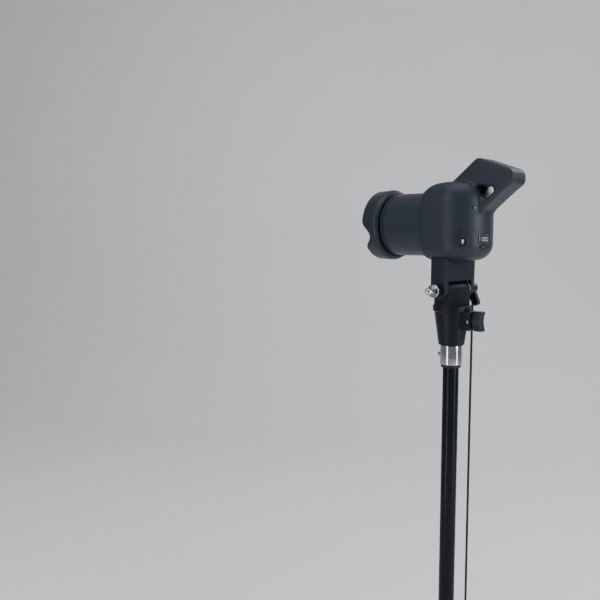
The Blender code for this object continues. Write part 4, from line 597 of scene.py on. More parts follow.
def fitted(piece, body, finish, slot, *nodes, angle=35, merge=True):
    """Merges a finished piece's doubles if asked, gives it its material and shading, and mounts it."""
    piece.data.materials.clear()
    piece.data.materials.append(finish)
    chosen(piece)
    if merge:
        open_up()
        bpy.ops.mesh.remove_doubles(threshold=0.0000001)
        bpy.ops.object.mode_set(mode="OBJECT")
    bpy.ops.object.shade_smooth_by_angle(angle=math.radians(angle))
    if nodes:
        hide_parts(*nodes)
    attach(piece, body)
    print(piece.name, len(piece.data.polygons), "faces")
    return piece


def lathed(name, corners, place, steps=96, soft=5):
    """Rounds a cross-section's corners and turns it."""
    return turned(name, soft_outline(corners, soft), place, steps)


# %% [markdown]
# ## Lead, coil and plug
# The lead is one limp cord from the case to its plug. It hangs from the strain relief down behind the
# tube, and what the lamp doesn't need is wound into a small tied coil. It could be a stack of solid
# pieces, but a cord is one thing, so a single open curve is laid through listed points, wound as the
# real coil is, in two layers that spiral in and out again, and given its thickness by a bevel.

# %% Lay the lead
CORD_DIAMETER = 0.0036
CORD_ROUTE = in_mm(
    (-59.1, -11, 711.3), (-62.2, -11.1, 711.1), (-66.3, -11.3, 709.3), (-69.3, -11.7, 705.8),
    (-71, -12.2, 700.5), (-72, -12.8, 692), (-72.8, -13.5, 676), (-73.8, -14.6, 635),
    (-74.6, -15.4, 570), (-74.9, -15.8, 470), (-74.8, -15.8, 370), (-74.6, -15.7, 280),
    (-74.5, -15.6, 195), (-74.5, -15.6, 140), (-74.5, -15.6, 107.2),
)
COIL_RADIUS = 0.028
COIL_PITCH = 0.0043
COIL_LAYER = 0.0044
COIL_TURNS = 6
TURN_POINTS = 24
TAIL_LENGTH = 0.02


def smooth_run(route):
    """Points on a smooth curve through the route, closer together where it bends."""
    points = [Vector(point) for point in route]
    ends = [2 * points[0] - points[1], *points, 2 * points[-1] - points[-2]]
    run = []
    for before, here, after, beyond in zip(ends, ends[1:], ends[2:], ends[3:]):
        steps = 3 if (after - here).length < 0.02 else 2
        for step in range(steps):
            t = step / steps
            bend = (2 * before - 5 * here + 4 * after - beyond) * t * t
            twist = (3 * here - before - 3 * after + beyond) * t ** 3
            run.append((2 * here + (after - before) * t + bend + twist) / 2)
    return run + [points[-1]]


cord_run = smooth_run(CORD_ROUTE)
COIL_START = cord_run[-1] - Vector((0, 0, 0.0003))
COIL_CENTRE = COIL_START + Vector((0, COIL_RADIUS, -CORD_DIAMETER))
coil_points = []
for step in range(COIL_TURNS * TURN_POINTS + 1):
    turn = step / TURN_POINTS
    radius = COIL_RADIUS - COIL_PITCH * (COIL_TURNS / 2 - abs(turn - COIL_TURNS / 2))
    climb = min(max((turn - COIL_TURNS / 2) * 2 + 0.5, 0), 1)
    layer = COIL_LAYER * climb * climb * (3 - 2 * climb)
    angle = math.pi + 2 * math.pi * turn
    coil_points.append(COIL_CENTRE + Vector((-layer, radius * math.cos(angle), radius * math.sin(angle))))
tail_top = coil_points[-1] - Vector((0, 0, CORD_DIAMETER + 0.0003))
tail_end = tail_top - Vector((0, 0, TAIL_LENGTH))
cord_points = cord_run + [COIL_START] + coil_points + [tail_top, tail_top.lerp(tail_end, 0.5), tail_end]

deselect()
bpy.ops.curve.primitive_nurbs_path_add()
cord = bpy.context.object
cord.name = "lead"
cord.data.splines.clear()
cord_line = cord.data.splines.new("POLY")
cord_line.points.add(len(cord_points) - 1)
for point, spot in zip(cord_line.points, cord_points):
    point.co = (*spot, 1)
cord.data.bevel_depth = CORD_DIAMETER / 2
cord.data.bevel_resolution = 6
cord.data.use_fill_caps = True
bpy.ops.object.convert(target="MESH")
cord.data.materials.append(rubber)
bpy.ops.object.shade_smooth_by_angle(angle=math.radians(60))
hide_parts("power_cord", "cord_coil", "cord_tail")
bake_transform(cord)

# %% Turn the gland, its strain relief and the plug
GLAND_Y = -0.011
GLAND_HEIGHT = AXIS_HEIGHT - 0.019
farward = moved(-HOUSING_RADIUS, GLAND_Y, GLAND_HEIGHT) @ spun(-QUARTER, "Y")
gland_corners = in_mm((0, 0.7, 0), (6, 0.7, 0.2), (6, 0.3, 0.1), (4, 0.3, 0), (4, -5, 0), (0, -5, 0))
gland = lathed("gland", gland_corners, farward, 64, 4)
flats = soft_outline(hexagon(0.006, 0.0007), 4)
carved(gland, pressed("gland_nut", flats, 0.0004, 0.0025, farward, 0.0003), "UNION")
fitted(gland, "head", knob_plastic, "knob", "cable_gland")

RELIEF_LOW = 0.0028
RELIEF_LENGTH = 0.012
RELIEF_RIBS = 6
RELIEF_RADIUS = 0.0039
RELIEF_TAPER = 0.0013
RELIEF_LIP = 0.0003
relief_profile = [(0, RELIEF_LOW), (0.0037, RELIEF_LOW), (RELIEF_RADIUS, RELIEF_LOW + 0.0002)]
for rib in range(RELIEF_RIBS):
    for share, dip in ((0.0, 0.0), (0.5, 0.0), (0.6, 0.4), (0.9, 0.4)):
        along = (rib + share) / RELIEF_RIBS
        edge = RELIEF_RADIUS - RELIEF_TAPER * along
        radius = edge - dip * (edge - CORD_DIAMETER / 2)
        relief_profile.append((radius, RELIEF_LOW + RELIEF_LIP + (RELIEF_LENGTH - RELIEF_LIP) * along))
relief_profile += [(radius, RELIEF_LOW + RELIEF_LENGTH) for radius in (0.0026, 0)]
relief = turned("strain_sleeve", relief_profile, farward, 48)
fitted(relief, "head", rubber, "rubber", "strain_relief")

downward = Matrix.Translation(tail_end - Vector((0, 0, 0.0003))) @ spun(math.pi, "X")
GRIP_START = 0.0105
GRIP_PITCH = 0.0026
GRIP_GROOVES = 5
GROOVE_RADIUS = 0.0044
GROOVE_WIDTH = 0.001
grip_corners = in_mm((0, 0, 0), (2.6, 0, 0.4), (2.9, 6.8, 0.4), (4.9, 7.8, 0.8))
for groove in range(GRIP_GROOVES):
    height = GRIP_START + GRIP_PITCH * groove
    edge = 0.0047 + 0.0002 * abs(height - 0.018) / 0.0105
    for radius, rise in ((edge, 0), (GROOVE_RADIUS, 0), (GROOVE_RADIUS, GROOVE_WIDTH), (edge, GROOVE_WIDTH)):
        grip_corners.append((radius, height + rise, 0.0001))
grip_corners += [(0.0049, 0.029, 0.0012), (0, 0.029, 0)]
plug_grip = lathed("plug_grip_moulding", grip_corners, downward, 64)
fitted(plug_grip, "bracket", rubber, "rubber", "plug_grip")
pin_profile = in_mm((1.05, 29.3), (2.75, 29.3), (2.75, 38.4), (2.45, 38.8), (1.25, 38.8), (1.05, 38.5))
plug_pin = turned("plug_pin", pin_profile, downward, 48)
fitted(plug_pin, "bracket", steel, "steel", "plug_barrel")

TIE_LOW = 0.0125
TIE_HIGH = 0.0301
TIE_HALF = 0.0043
coil_middle = COIL_CENTRE + Vector((-COIL_LAYER / 2, 0, (TIE_LOW + TIE_HIGH) / 2))
across_coil = Matrix.Translation(coil_middle) @ spun(QUARTER, "X")


def strap_outline(thickness):
    tall = (TIE_HIGH - TIE_LOW) / 2 + thickness
    return oblong(2 * (TIE_HALF + thickness), 2 * tall, CORD_DIAMETER / 2 + thickness)


tie = pressed("tie_strap", strap_outline(0.0012), -0.004, 0.004, across_coil)
carved(tie, pressed("tie_hole", strap_outline(0.0), -0.006, 0.006, across_coil))
rounded(tie, 0.0003, 2, 50)
fitted(tie, "bracket", rubber, "rubber", "cord_tie")
print("lead declared with", len(cord_points), "points")

# %% [markdown]
# ## Barrel, ring and lens
# The barrel is a moulded tube with one shallow groove near its mouth. The bayonet ring screws into the
# mouth and carries hoods, and the lens is a crowned disc of glass behind it. All three are turned
# pieces, so each is half a cross-section, spun about the lamp's axis in many steps to look round.

# %% Turn the barrel
BARREL_RADIUS = 0.044
BARREL_BORE = 0.0416
BARREL_REAR = -HOUSING_FRONT + 0.0003
RING_RADIUS = 0.036

barrel_profile = [
    *beside(BARREL_RADIUS, BARREL_FRONT, (-0.7, 0), (-0.2, -0.2), (0, -0.7), (0, -4)),
    *beside(BARREL_RADIUS, BARREL_FRONT, (-1, -4.4), (-1, -5.8), (0, -6.2)),
    *beside(BARREL_RADIUS, BARREL_REAR, (0, 0.1), (-0.1, 0)),
    *beside(RING_RADIUS, BARREL_REAR, (0, 0), (0, -8), (-2, -8), (-2, 24.6)),
    *beside(RING_RADIUS, BARREL_REAR, (0, 24.6), (0, 2.6)),
    (BARREL_BORE, BARREL_REAR + 0.0026),
    *beside(BARREL_BORE, BARREL_FRONT, (0, -10.5), (-3, -7.5), (0, -7.5), (0, -0.4)),
    (BARREL_BORE + 0.0004, BARREL_FRONT),
]
fitted(turned("barrel", barrel_profile, BEAM, 160), "head", housing_plastic, "housing", "front_barrel")

# %% Turn the lens and the bayonet ring
LENS_REAR = BARREL_FRONT - 0.0072
LENS_EDGE = LENS_REAR + 0.003
LENS_RADIUS = 0.0375
LENS_CROWN = 0.0028
lens_profile = [(0, LENS_REAR), *beside(BARREL_BORE, LENS_REAR, (-0.3, 0), (-0.3, 3))]
for step in range(16):
    angle = QUARTER * (1 - step / 15)
    lens_profile.append((LENS_RADIUS * math.sin(angle), LENS_EDGE + LENS_CROWN * math.cos(angle)))
fitted(turned("lens", lens_profile, BEAM, 128), "head", clear_glass, "glass", "front_lens")

mouth_ring_profile = [
    *beside(0.04, BARREL_FRONT, (-0.5, 13), (0, 12.5), (0, 1.5)),
    *beside(0.0428, BARREL_FRONT, (-0.3, 1.5), (0, 1.2), (0, 0.3)),
    *beside(BARREL_BORE, BARREL_FRONT, (-0.3, 0.3), (-0.3, -3.9)),
    *beside(0.0375, BARREL_FRONT, (0, -3.9), (0, 12.7), (0.3, 13)),
]
mouth_ring = turned("mouth_ring", mouth_ring_profile, BEAM, 128)
fitted(mouth_ring, "head", bracket_plastic, "bracket", "bayonet_ring")

# %% [markdown]
# ## Petal hood
# The hood is a short moulded cup with two scalloped notches in its rim, which shape the spill of light.
# It starts as a turned cup. The notches are then cut by one long cutter right through both sides, whose
# outline is a cosine wave, and the cut rims get a small round, because a moulding has no sharp lip.

# %% Turn the hood and cut its petals
HOOD_RADIUS = 0.05
HOOD_REAR = 0.0955
HOOD_FRONT = -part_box("petal_hood")[0].y
HOOD_TWIST = math.radians(-18)
NOTCH_DEPTH = 0.0125
NOTCH_HALF = 0.021
NOTCH_EDGE = NOTCH_HALF + 0.003
NOTCH_STEPS = 32
HOOD_ROUND = 0.0006

hood_profile = [
    (HOOD_RADIUS, HOOD_FRONT),
    *beside(HOOD_RADIUS, HOOD_REAR, (0, 7.7), (0.5, 7.3), (0.5, 6.3), (0, 5.9)),
    *beside(HOOD_RADIUS, HOOD_REAR, (-0.2, 4.5), (-1.2, 2), (-3.2, 0.4), (-4.8, 0)),
    *beside(0.0403, HOOD_REAR, (0, 0), (0, 3)),
    *beside(HOOD_RADIUS, HOOD_REAR, (-6.6, 3), (-3.2, 5.6), (-2.6, 8.5)),
    (HOOD_RADIUS - 0.0026, HOOD_FRONT),
]
twisted = BEAM @ spun(HOOD_TWIST, "Z")
hood = turned("hood", hood_profile, twisted, 160)
notch = []
for step in range(NOTCH_STEPS + 1):
    across = 2 * step / NOTCH_STEPS - 1
    dip = NOTCH_DEPTH * (1 + math.cos(math.pi * across)) / 2
    notch.append((NOTCH_HALF * across, HOOD_FRONT - dip))
notch[0] = (-NOTCH_EDGE, HOOD_FRONT + 0.0004)
notch[-1] = (NOTCH_EDGE, HOOD_FRONT + 0.0004)
notch += [(NOTCH_EDGE, HOOD_FRONT + 0.004), (-NOTCH_EDGE, HOOD_FRONT + 0.004)]
carved(hood, pressed("notch_cutter", notch, -0.06, 0.06, twisted @ SIDEWAYS))
rounded(hood, HOOD_ROUND, 2, 60)
fitted(hood, "hood", housing_plastic, "housing", "petal_hood", merge=False)

# %% [markdown]
# ## Housing and handle
# The case is two moulded shells that meet on the lamp's middle plane. Their outer skin, with its soft
# shoulders and the handle that grows out of the dome, has no straight seams, so it is modelled once as
# a whole. A skinned stack of rings is welded to an extruded handle, and a fine voxel remesh with some
# smoothing turns the hard weld into the rounded run-in that the moulding has. A short drum is welded to
# the front, and when the case is halved it is cut off square, so that case and barrel meet with a crisp,
# flush edge. Only then are the halves hollowed and drilled.

# %% Skin the body
def plan_ring(height, half_width, front, rear, corner):
    """One level of the case: a flat front with rounded corners and a half-round rear."""
    reach = half_width - corner
    arcs = (
        (reach, front + corner, corner, [QUARTER * (step / 8 - 1) for step in range(9)]),
        (0, rear - half_width, half_width, [math.pi * step / 60 for step in range(61)]),
        (-reach, front + corner, corner, [math.pi + QUARTER * step / 8 for step in range(9)]),
    )
    return [
        (x + radius * math.cos(angle), y + radius * math.sin(angle), height)
        for x, y, radius, angles in arcs
        for angle in angles
    ]


HOUSING_REAR = 0.0535
SHOULDER_LINE = HOUSING_BOTTOM + 0.074
DOME_HEIGHT = 0.03
DOME_POWER = 0.9
RIDGE = (0.019, -0.002, 0.032)
FRONT_CORNER = 0.0016
RIDGE_CORNER = 0.0145
BOTTOM_RADIUS = 0.022
FRONT_TRIM = 0.0006


def case_rings(wall, trim=0.0):
    """Levels of the case, or of its hollow if there is a wall, from its foot to its ridge."""
    rings = []
    for step in range(13):
        angle = QUARTER * step / 12
        inset = BOTTOM_RADIUS * (1 - math.sin(angle))
        rise = BOTTOM_RADIUS * (1 - math.cos(angle))
        if wall and rise < wall and step:
            continue
        level = HOUSING_BOTTOM + max(rise, wall) + min(wall, 0)
        front = HOUSING_FRONT + inset * 0.35 + wall - trim
        rear = HOUSING_REAR - inset - wall
        rings.append(plan_ring(level, HOUSING_RADIUS - inset - wall, front, rear, FRONT_CORNER))
    for step in range(17):
        angle = QUARTER * step / 16
        lean = max(math.cos(angle), 0) ** DOME_POWER
        climb = math.sin(angle) ** DOME_POWER
        rings.append(
            plan_ring(
                SHOULDER_LINE + (DOME_HEIGHT - wall) * climb,
                RIDGE[0] + (HOUSING_RADIUS - RIDGE[0]) * lean - wall,
                RIDGE[1] + (HOUSING_FRONT - RIDGE[1]) * lean + wall - trim,
                RIDGE[2] + (HOUSING_REAR - RIDGE[2]) * lean - wall,
                RIDGE_CORNER + (FRONT_CORNER - RIDGE_CORNER) * lean - wall * (1 - lean),
            )
        )
    return rings


case = skinned("case", case_rings(0.0, FRONT_TRIM))
print("case skinned:", len(case.data.polygons), "faces")

# %% Grow the handle and soften the weld
HANDLE_REACH = 0.0955
HANDLE_RISE = 0.0845
HANDLE_HALF = 0.0175
HANDLE_ROUND = 0.0045
VOXEL = 0.0011
HANDLE_CORNERS = (
    (-0.058, 0.403, 0), (0.037, 0.621, 0.01), (0.466, 1.0, 0.007), (0.99, 0.782, 0.009),
    (1.0, 0.592, 0.009), (0.822, 0.443, 0.02), (0.576, 0.213, 0.012), (0.44, 0, 0), (0.1, 0, 0),
)
FINGER_CORNERS = ((0.298, 0.627, 0.005), (0.796, 0.521, 0.005), (0.605, 0.362, 0.006))


def handle_outline(corners):
    """An outline whose corners are told as shares of the handle's reach and rise."""
    return soft_outline([(u * HANDLE_REACH, v * HANDLE_RISE, r) for u, v, r in corners])


flush_front = (HOUSING_RADIUS, -HOUSING_FRONT - 0.01, -HOUSING_FRONT + 0.004)
carved(case, drilled("flush_front", *flush_front, BEAM, 160), "UNION")
on_axis = moved(0, 0, AXIS_HEIGHT) @ SIDEWAYS
handle = pressed("handle", handle_outline(HANDLE_CORNERS), -HANDLE_HALF, HANDLE_HALF, on_axis)
carved(handle, pressed("finger_hole", handle_outline(FINGER_CORNERS), -0.03, 0.03, on_axis))
rounded(handle, HANDLE_ROUND, 5, 60)
carved(case, handle, "UNION")
shaped(case, "REMESH", mode="VOXEL", voxel_size=VOXEL)
shaped(case, "SMOOTH", factor=0.5, iterations=10)
shaped(case, "TRIANGULATE")
print("case welded:", len(case.data.polygons), "faces")

# %% Halve, hollow and drill the case
PANEL = {
    "knob": (math.radians(38), -0.0235),
    "window": (math.radians(77), -0.0205),
    "button": (math.radians(77), -0.0305),
    "eye": (math.radians(57), 0.0195),
}
CASE_WALL = 0.0024
SEAM_HALF = 0.00015
VENTS = 6
CASE_SCREWS = [(along, HOUSING_BOTTOM + rise) for rise in (0.046, 0.0665) for along in (-0.0138, 0.0048)]


def on_panel(angle, rise):
    """A place on the rounded rear wall, its own Z out of the wall and its own Y up."""
    outward = Vector((math.cos(angle), math.sin(angle), 0))
    across = Vector((-math.sin(angle), math.cos(angle), 0))
    turn = Matrix((across, Vector((0, 0, 1)), outward)).transposed().to_4x4()
    spot = Vector((0, PANEL_CENTRE_Y, AXIS_HEIGHT + rise)) + outward * HOUSING_RADIUS
    return Matrix.Translation(spot) @ turn


knob_place, window_place, button_place, eye_place = (on_panel(*spot) for spot in PANEL.values())


def half_case(name, side):
    """One shell: the case cut at the seam and at its front, then hollowed, with the barrel's mouth."""
    half = copied(case, name)
    chosen(half)
    for spot, keep in (((side * SEAM_HALF, 0, 0), (side, 0, 0)), ((0, HOUSING_FRONT, 0), (0, 1, 0))):
        open_up()
        bpy.ops.mesh.bisect(plane_co=spot, plane_no=keep, use_fill=True, clear_inner=True)
    bpy.ops.object.mode_set(mode="OBJECT")
    carved(half, skinned("hollow", case_rings(CASE_WALL)))
    return bored(half, RING_RADIUS + 0.0003, -HOUSING_FRONT - 0.006, -HOUSING_FRONT + 0.003, BEAM, 96)


right_half = half_case("right_half", 1)
right_tools = [
    drilled("knob_hole", 0.0051, -0.005, 0.004, knob_place),
    pressed("window_hole", oblong(0.0176, 0.0121, 0.0008), -0.006, 0.003, window_place),
    pressed("button_hole", oblong(0.0116, 0.0042, 0.0008), -0.006, 0.003, button_place),
    drilled("eye_hole", 0.00305, -0.005, 0.003, eye_place),
]
carved(right_half, one_tool(right_tools))
left_half = half_case("left_half", -1)
inward = spun(-QUARTER, "Y")
seat_profile = in_mm((0, 3), (3.4, 3), (3.4, -1.4), (1.8, -1.8), (1.8, -6), (0, -6))
left_tools = [drilled("cable_hole", 0.0043, -0.006, 0.003, farward)]
for vent in range(VENTS):
    spot = on_panel(math.radians(122 + 9 * vent), 0.0)
    left_tools.append(pressed("vent_cutter", oblong(0.003, 0.03, 0.00147), -0.006, 0.004, spot))
for along, height in CASE_SCREWS:
    seat = moved(-HOUSING_RADIUS, along, height) @ inward
    left_tools.append(turned("seat_cutter", seat_profile, seat, 32))
carved(left_half, one_tool(left_tools))
bpy.data.objects.remove(case, do_unlink=True)
fitted(right_half, "head", housing_plastic, "housing", "housing_right", angle=45)
fitted(left_half, "head", housing_plastic, "housing", "housing_left", angle=45)

# %% [markdown]
# ## Case screws
# Four pan-head screws draw the far shell onto the near one. A screw is a turned head and shank with a
# cross recess pressed into it. One is modelled, cut with two thin blocks, and copied to its neighbours.

# %% Turn a case screw and copy it
along, height = CASE_SCREWS[0]
screw_place = moved(-HOUSING_RADIUS, along, height) @ inward
screw_corners = in_mm(
    (0, -0.3, 0), (3, -0.3, 0.5), (3, -1.2, 0.1), (1.5, -1.2, 0.1), (1.5, -9.3, 0.4), (0, -9.3, 0),
)
case_screw = lathed("case_screw", screw_corners, screw_place, 48, 4)
for long_side, short_side in ((0.0016, 0.00035), (0.00035, 0.0016)):
    corner = Vector((long_side, short_side, 0.001))
    carved(case_screw, boxed("recess_cutter", -corner, corner, screw_place))
for number, (further, higher) in enumerate(CASE_SCREWS[1:], start=2):
    again = copied(case_screw, "case_screw_copy_" + str(number), moved(0, further - along, higher - height))
    fitted(again, "head", steel, "steel", "case_screw_" + str(number))
fitted(case_screw, "head", steel, "steel", "case_screw_1")

# %% [markdown]
# ## Stand tube and collar
# The stand's last section is a painted steel tube with a rubber ring and a plated collar at its top, and
# a thumb screw pins the collar. All of them are round, so they are turned. Plating hides nothing, so
# the collar's rims are truly rounded instead of by a shader trick.

# %% Turn the tube, bush, ring and collar
TUBE_RADIUS = 0.011
TUBE_BORE = 0.0098
COLLAR_RADIUS = 0.015
COLLAR_BORE = 0.0113
tube_low, tube_high = (corner.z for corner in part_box("stand_tube"))
collar_low, collar_high = (corner.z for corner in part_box("chrome_collar"))
ring_low, ring_high = (corner.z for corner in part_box("collar_ring"))


def sleeve(name, outer, bore, low, high, outer_round, bore_round, steps=96):
    """A turned tube with rounded rims."""
    corners = [(outer, level, outer_round) for level in (high, low)]
    corners += [(bore, level, bore_round) for level in (low, high)]
    return lathed(name, corners, UPRIGHT, steps)


tube = sleeve("tube", TUBE_RADIUS, TUBE_BORE, tube_low, tube_high, 0.0003, 0.0003)
fitted(tube, "stand", tube_paint, "stand_tube", "stand_tube")
BUSH_FLANGE = 0.004
BUSH_TOP = 0.0203
BUSH_PLUG = TUBE_BORE - 0.0003
bush_corners = [(0, 0, 0), (TUBE_RADIUS, 0, 0.0008), (TUBE_RADIUS, BUSH_FLANGE, 0.0003)]
bush_corners += [(BUSH_PLUG, BUSH_FLANGE, 0), (BUSH_PLUG, BUSH_TOP, 0.0012), (0, BUSH_TOP, 0)]
fitted(lathed("end_bush", bush_corners, UPRIGHT), "stand", rubber, "rubber", "tube_end_bush")
rubber_ring = sleeve("rubber_ring", 0.01375, COLLAR_BORE, ring_low, ring_high, 0.001, 0.0002)
fitted(rubber_ring, "stand", rubber, "rubber", "collar_ring")

COLLAR_SCREW_ANGLE = math.radians(-56)
collar_middle = moved(0, 0, (collar_low + collar_high) / 2)
collar_screw_place = collar_middle @ spun(COLLAR_SCREW_ANGLE, "Z") @ spun(QUARTER, "Y")
collar = sleeve("plated_collar", COLLAR_RADIUS, COLLAR_BORE, collar_low, collar_high, 0.001, 0.0003, 128)
bored(collar, 0.0023, 0.01, 0.018, collar_screw_place, 32)
fitted(collar, "stand", chrome, "chrome", "chrome_collar")
thumb_corners = in_mm(
    (0, 18.3, 0), (3.25, 18.3, 0.7), (3.25, 15.3, 0.3), (2, 15.3, 0.1), (2, 11.3, 0.3),
    (0, 11.3, 0),
)
thumb_screw = lathed("thumb_screw", thumb_corners, collar_screw_place, 48, 4)
slot_low, slot_high = (-0.004, -0.0004, 0.0175), (0.004, 0.0004, 0.019)
carved(thumb_screw, boxed("slot_cutter", slot_low, slot_high, collar_screw_place))
fitted(thumb_screw, "stand", chrome, "chrome", "collar_screw")

# %% [markdown]
# ## Socket with its tongue and clamp boss
# The socket is one glass-filled moulding: a tapered cup over the spigot, a broad tongue that the fork
# grips, and a block at the back that holds the clamp screw. It is built as it would be cut from stock.
# A turned cup is welded to a rounded plate and a rounded block, and the bores are drilled last.

# %% Build the socket
TONGUE_HALF = 0.026
TONGUE_RADIUS = 0.0115
BOSS_HALF = 0.009
BOSS_REACH = 0.034
PIN_SPOT = (0.02924, -0.00135)
cup_corners = [
    (0, SOCKET_TOP, 0),
    (0.026, SOCKET_TOP, 0.0012),
    (0.026, SOCKET_TOP - 0.007, 0.0012),
    (0.024, SOCKET_TOP - 0.009, 0.0015),
    (0.0175, SOCKET_BOTTOM, 0.0012),
    (0, SOCKET_BOTTOM, 0),
]
socket = lathed("socket", cup_corners, UPRIGHT, 128)
at_tilt = moved(0, 0, TILT_HEIGHT) @ SIDEWAYS
at_clamp = moved(0, 0, CLAMP_HEIGHT) @ SIDEWAYS
tongue_corners = [
    (-TONGUE_RADIUS, -0.0227, 0),
    (TONGUE_RADIUS, -0.0227, 0),
    (TONGUE_RADIUS, TONGUE_RADIUS, TONGUE_RADIUS * 0.999),
    (-TONGUE_RADIUS, TONGUE_RADIUS, TONGUE_RADIUS * 0.999),
]
tongue_outline = soft_outline(tongue_corners, 16)
carved(socket, pressed("tongue", tongue_outline, -TONGUE_HALF, TONGUE_HALF, at_tilt, 0.0008), "UNION")
boss_low, boss_high = (-0.0135, -BOSS_HALF, 0), (0.0135, BOSS_HALF, BOSS_REACH)
carved(socket, boxed("boss", boss_low, boss_high, CLAMP @ spun(QUARTER, "Z"), 0.0024, 5), "UNION")
bored(socket, 0.0083, SOCKET_BOTTOM - 0.005, SOCKET_BOTTOM + 0.0487, UPRIGHT, 64)
bored(socket, BOLT_BORE, 0, BOSS_REACH + 0.002, CLAMP)
bored(socket, BOLT_BORE, -0.03, 0.03, TILT)
for side in (1, -1):
    sidewise = moved(0, PIN_SPOT[0], CLAMP_HEIGHT + PIN_SPOT[1]) @ spun(side * QUARTER, "Y")
    bored(socket, 0.0024, 0.0057, 0.012, sidewise, 32)
    pin_corners = in_mm((0, 8.6, 0), (2.1, 8.6, 0.6), (2.1, 6, 0.2), (0, 6, 0))
    pin_name = "boss_pin_near" if side > 0 else "boss_pin_far"
    fitted(lathed("plated_" + pin_name, pin_corners, sidewise, 32), "bracket", chrome, "chrome", pin_name)
fitted(socket, "bracket", bracket_plastic, "bracket", "bracket_socket")

# %% [markdown]
# ## Wing knob
# The clamp's knob is a flat wing with a dished end, moulded over a round hub. Its outline is filled and
# extruded to the wing's thickness with well rounded rims, since fingers turn it, and a turned hub is
# welded through it. Shallow grooves across the wings' ends give the grip.

# %% Press the wing and weld on its hub
WING_GROOVES = 3
wing_corners = in_mm(
    (34.3, -6.5, 0), (38.3, -13.5, 1.6), (49.8, -13.5, 1.6), (46.3, 0, 27), (49.8, 13.5, 1.6),
    (38.3, 13.5, 1.6), (34.3, 6.5, 0),
)
wing = pressed("wing", soft_outline(wing_corners, 10), -0.0055, 0.0055, at_clamp, 0.0015, 4)
hub_corners = in_mm((0, 45.5, 0), (6.75, 45.5, 0.8), (6.75, 34.6, 0.6), (0, 34.6, 0))
carved(wing, lathed("wing_hub", hub_corners, CLAMP, 64, 4), "UNION")
bored(wing, BOLT_BORE, 0.033, 0.0455, CLAMP)
for end in (1, -1):
    for groove in range(WING_GROOVES):
        spot = moved(0, 0.0412 + 0.0027 * groove, CLAMP_HEIGHT + end * 0.014) @ spun(QUARTER, "Y")
        bored(wing, 0.0009, -0.008, 0.008, spot, 24)
fitted(wing, "clamp", knob_plastic, "knob", "wing_knob")

# %% [markdown]
# ## Neck fork
# The fork hangs from the case and grips the tongue. It is a thick plate with rounded ears: its outline
# is extruded across, the top is cut to the case's own curve so that the two meet everywhere, and the
# slot is milled out from below. Screw seats are sunk in the slot's roof, where they don't show.

# %% Press the fork and mill its slot
FORK_HALF = 0.034
SLOT_HALF = 0.0274
SLOT_ROOF = TILT_HEIGHT + 0.0122
fork_corners = in_mm((-12, 46, 0), (-12, -12.5, 11.98), (12, -12.5, 11.98), (12, 46, 0))
fork = pressed("fork", soft_outline(fork_corners, 16), -FORK_HALF, FORK_HALF, at_tilt, 0.0014, 4)
carved(fork, skinned("cradle", case_rings(-0.0004)))
slot_low = (-SLOT_HALF, -0.02, TILT_HEIGHT - 0.02)
carved(fork, boxed("fork_slot", slot_low, (SLOT_HALF, 0.02, SLOT_ROOF), UPRIGHT, 0.001, 3))
bored(fork, BOLT_BORE, -0.04, 0.04, TILT)
for side in (1, -1):
    over = moved(side * 0.013, 0, 0)
    bored(fork, 0.0023, SLOT_ROOF - 0.001, SLOT_ROOF + 0.04, over, 24)
    bored(fork, 0.0038, SLOT_ROOF - 0.001, SLOT_ROOF + 0.0019, over, 32)
fitted(fork, "head", neck_plastic, "housing", "neck_fork")

# %% [markdown]
# ## Tilt joint
# A bolt runs through fork and tongue. On the near side it ends in a plated dome nut over a washer and a
# spacer, and on the far side in a clamping lever. The round parts are turned, the nut's hexagon is
# extruded and capped by a turned dome, and the lever's arm is a rounded bar welded to its hub.

# %% Turn the spacer and washer, and make the dome nut
spacer_corners = in_mm((7.25, 42.8, 0.3), (7.85, 34.3, 0.3), (4.3, 34.3, 0.2), (4.3, 42.8, 0.2))
fitted(lathed("spacer", spacer_corners, TILT, 64), "head", bracket_plastic, "bracket", "bolt_spacer")
washer_corners = in_mm((9, 45.1, 0.5), (9, 43.1, 0.5), (4.3, 43.1, 0.2), (4.3, 45.1, 0.2))
fitted(lathed("washer", washer_corners, TILT, 64), "head", chrome, "chrome", "nut_washer")

NUT_CORNER = 0.0115 / 2 / math.cos(math.pi / 6)
DOME_RADIUS = 0.0054
DOME_LOW = 0.0524
DOME_RISE = 0.0075
nut = pressed("nut", hexagon(NUT_CORNER), 0.0454, DOME_LOW, TILT)
crown_profile = in_mm((0, 54), (5.8, 52.6), (7, 51.6), (7, 46.2), (5.8, 45.4), (0, 45.4))
carved(nut, turned("nut_crown", crown_profile, TILT, 96), "INTERSECT")
arc = [step * math.pi / 24 for step in range(11, -1, -1)]
dome = [(0, DOME_LOW + DOME_RISE)]
dome += [(DOME_RADIUS * math.cos(turn), DOME_LOW + DOME_RISE * math.sin(turn)) for turn in arc]
dome += [(DOME_RADIUS, 0.0489), (0, 0.0489)]
carved(nut, turned("nut_dome", dome, TILT, 96), "UNION")
bored(nut, BOLT_BORE, 0.044, 0.0551, TILT)
rounded(nut, 0.0002, 2, 25)
fitted(nut, "head", chrome, "chrome", "dome_nut", merge=False)

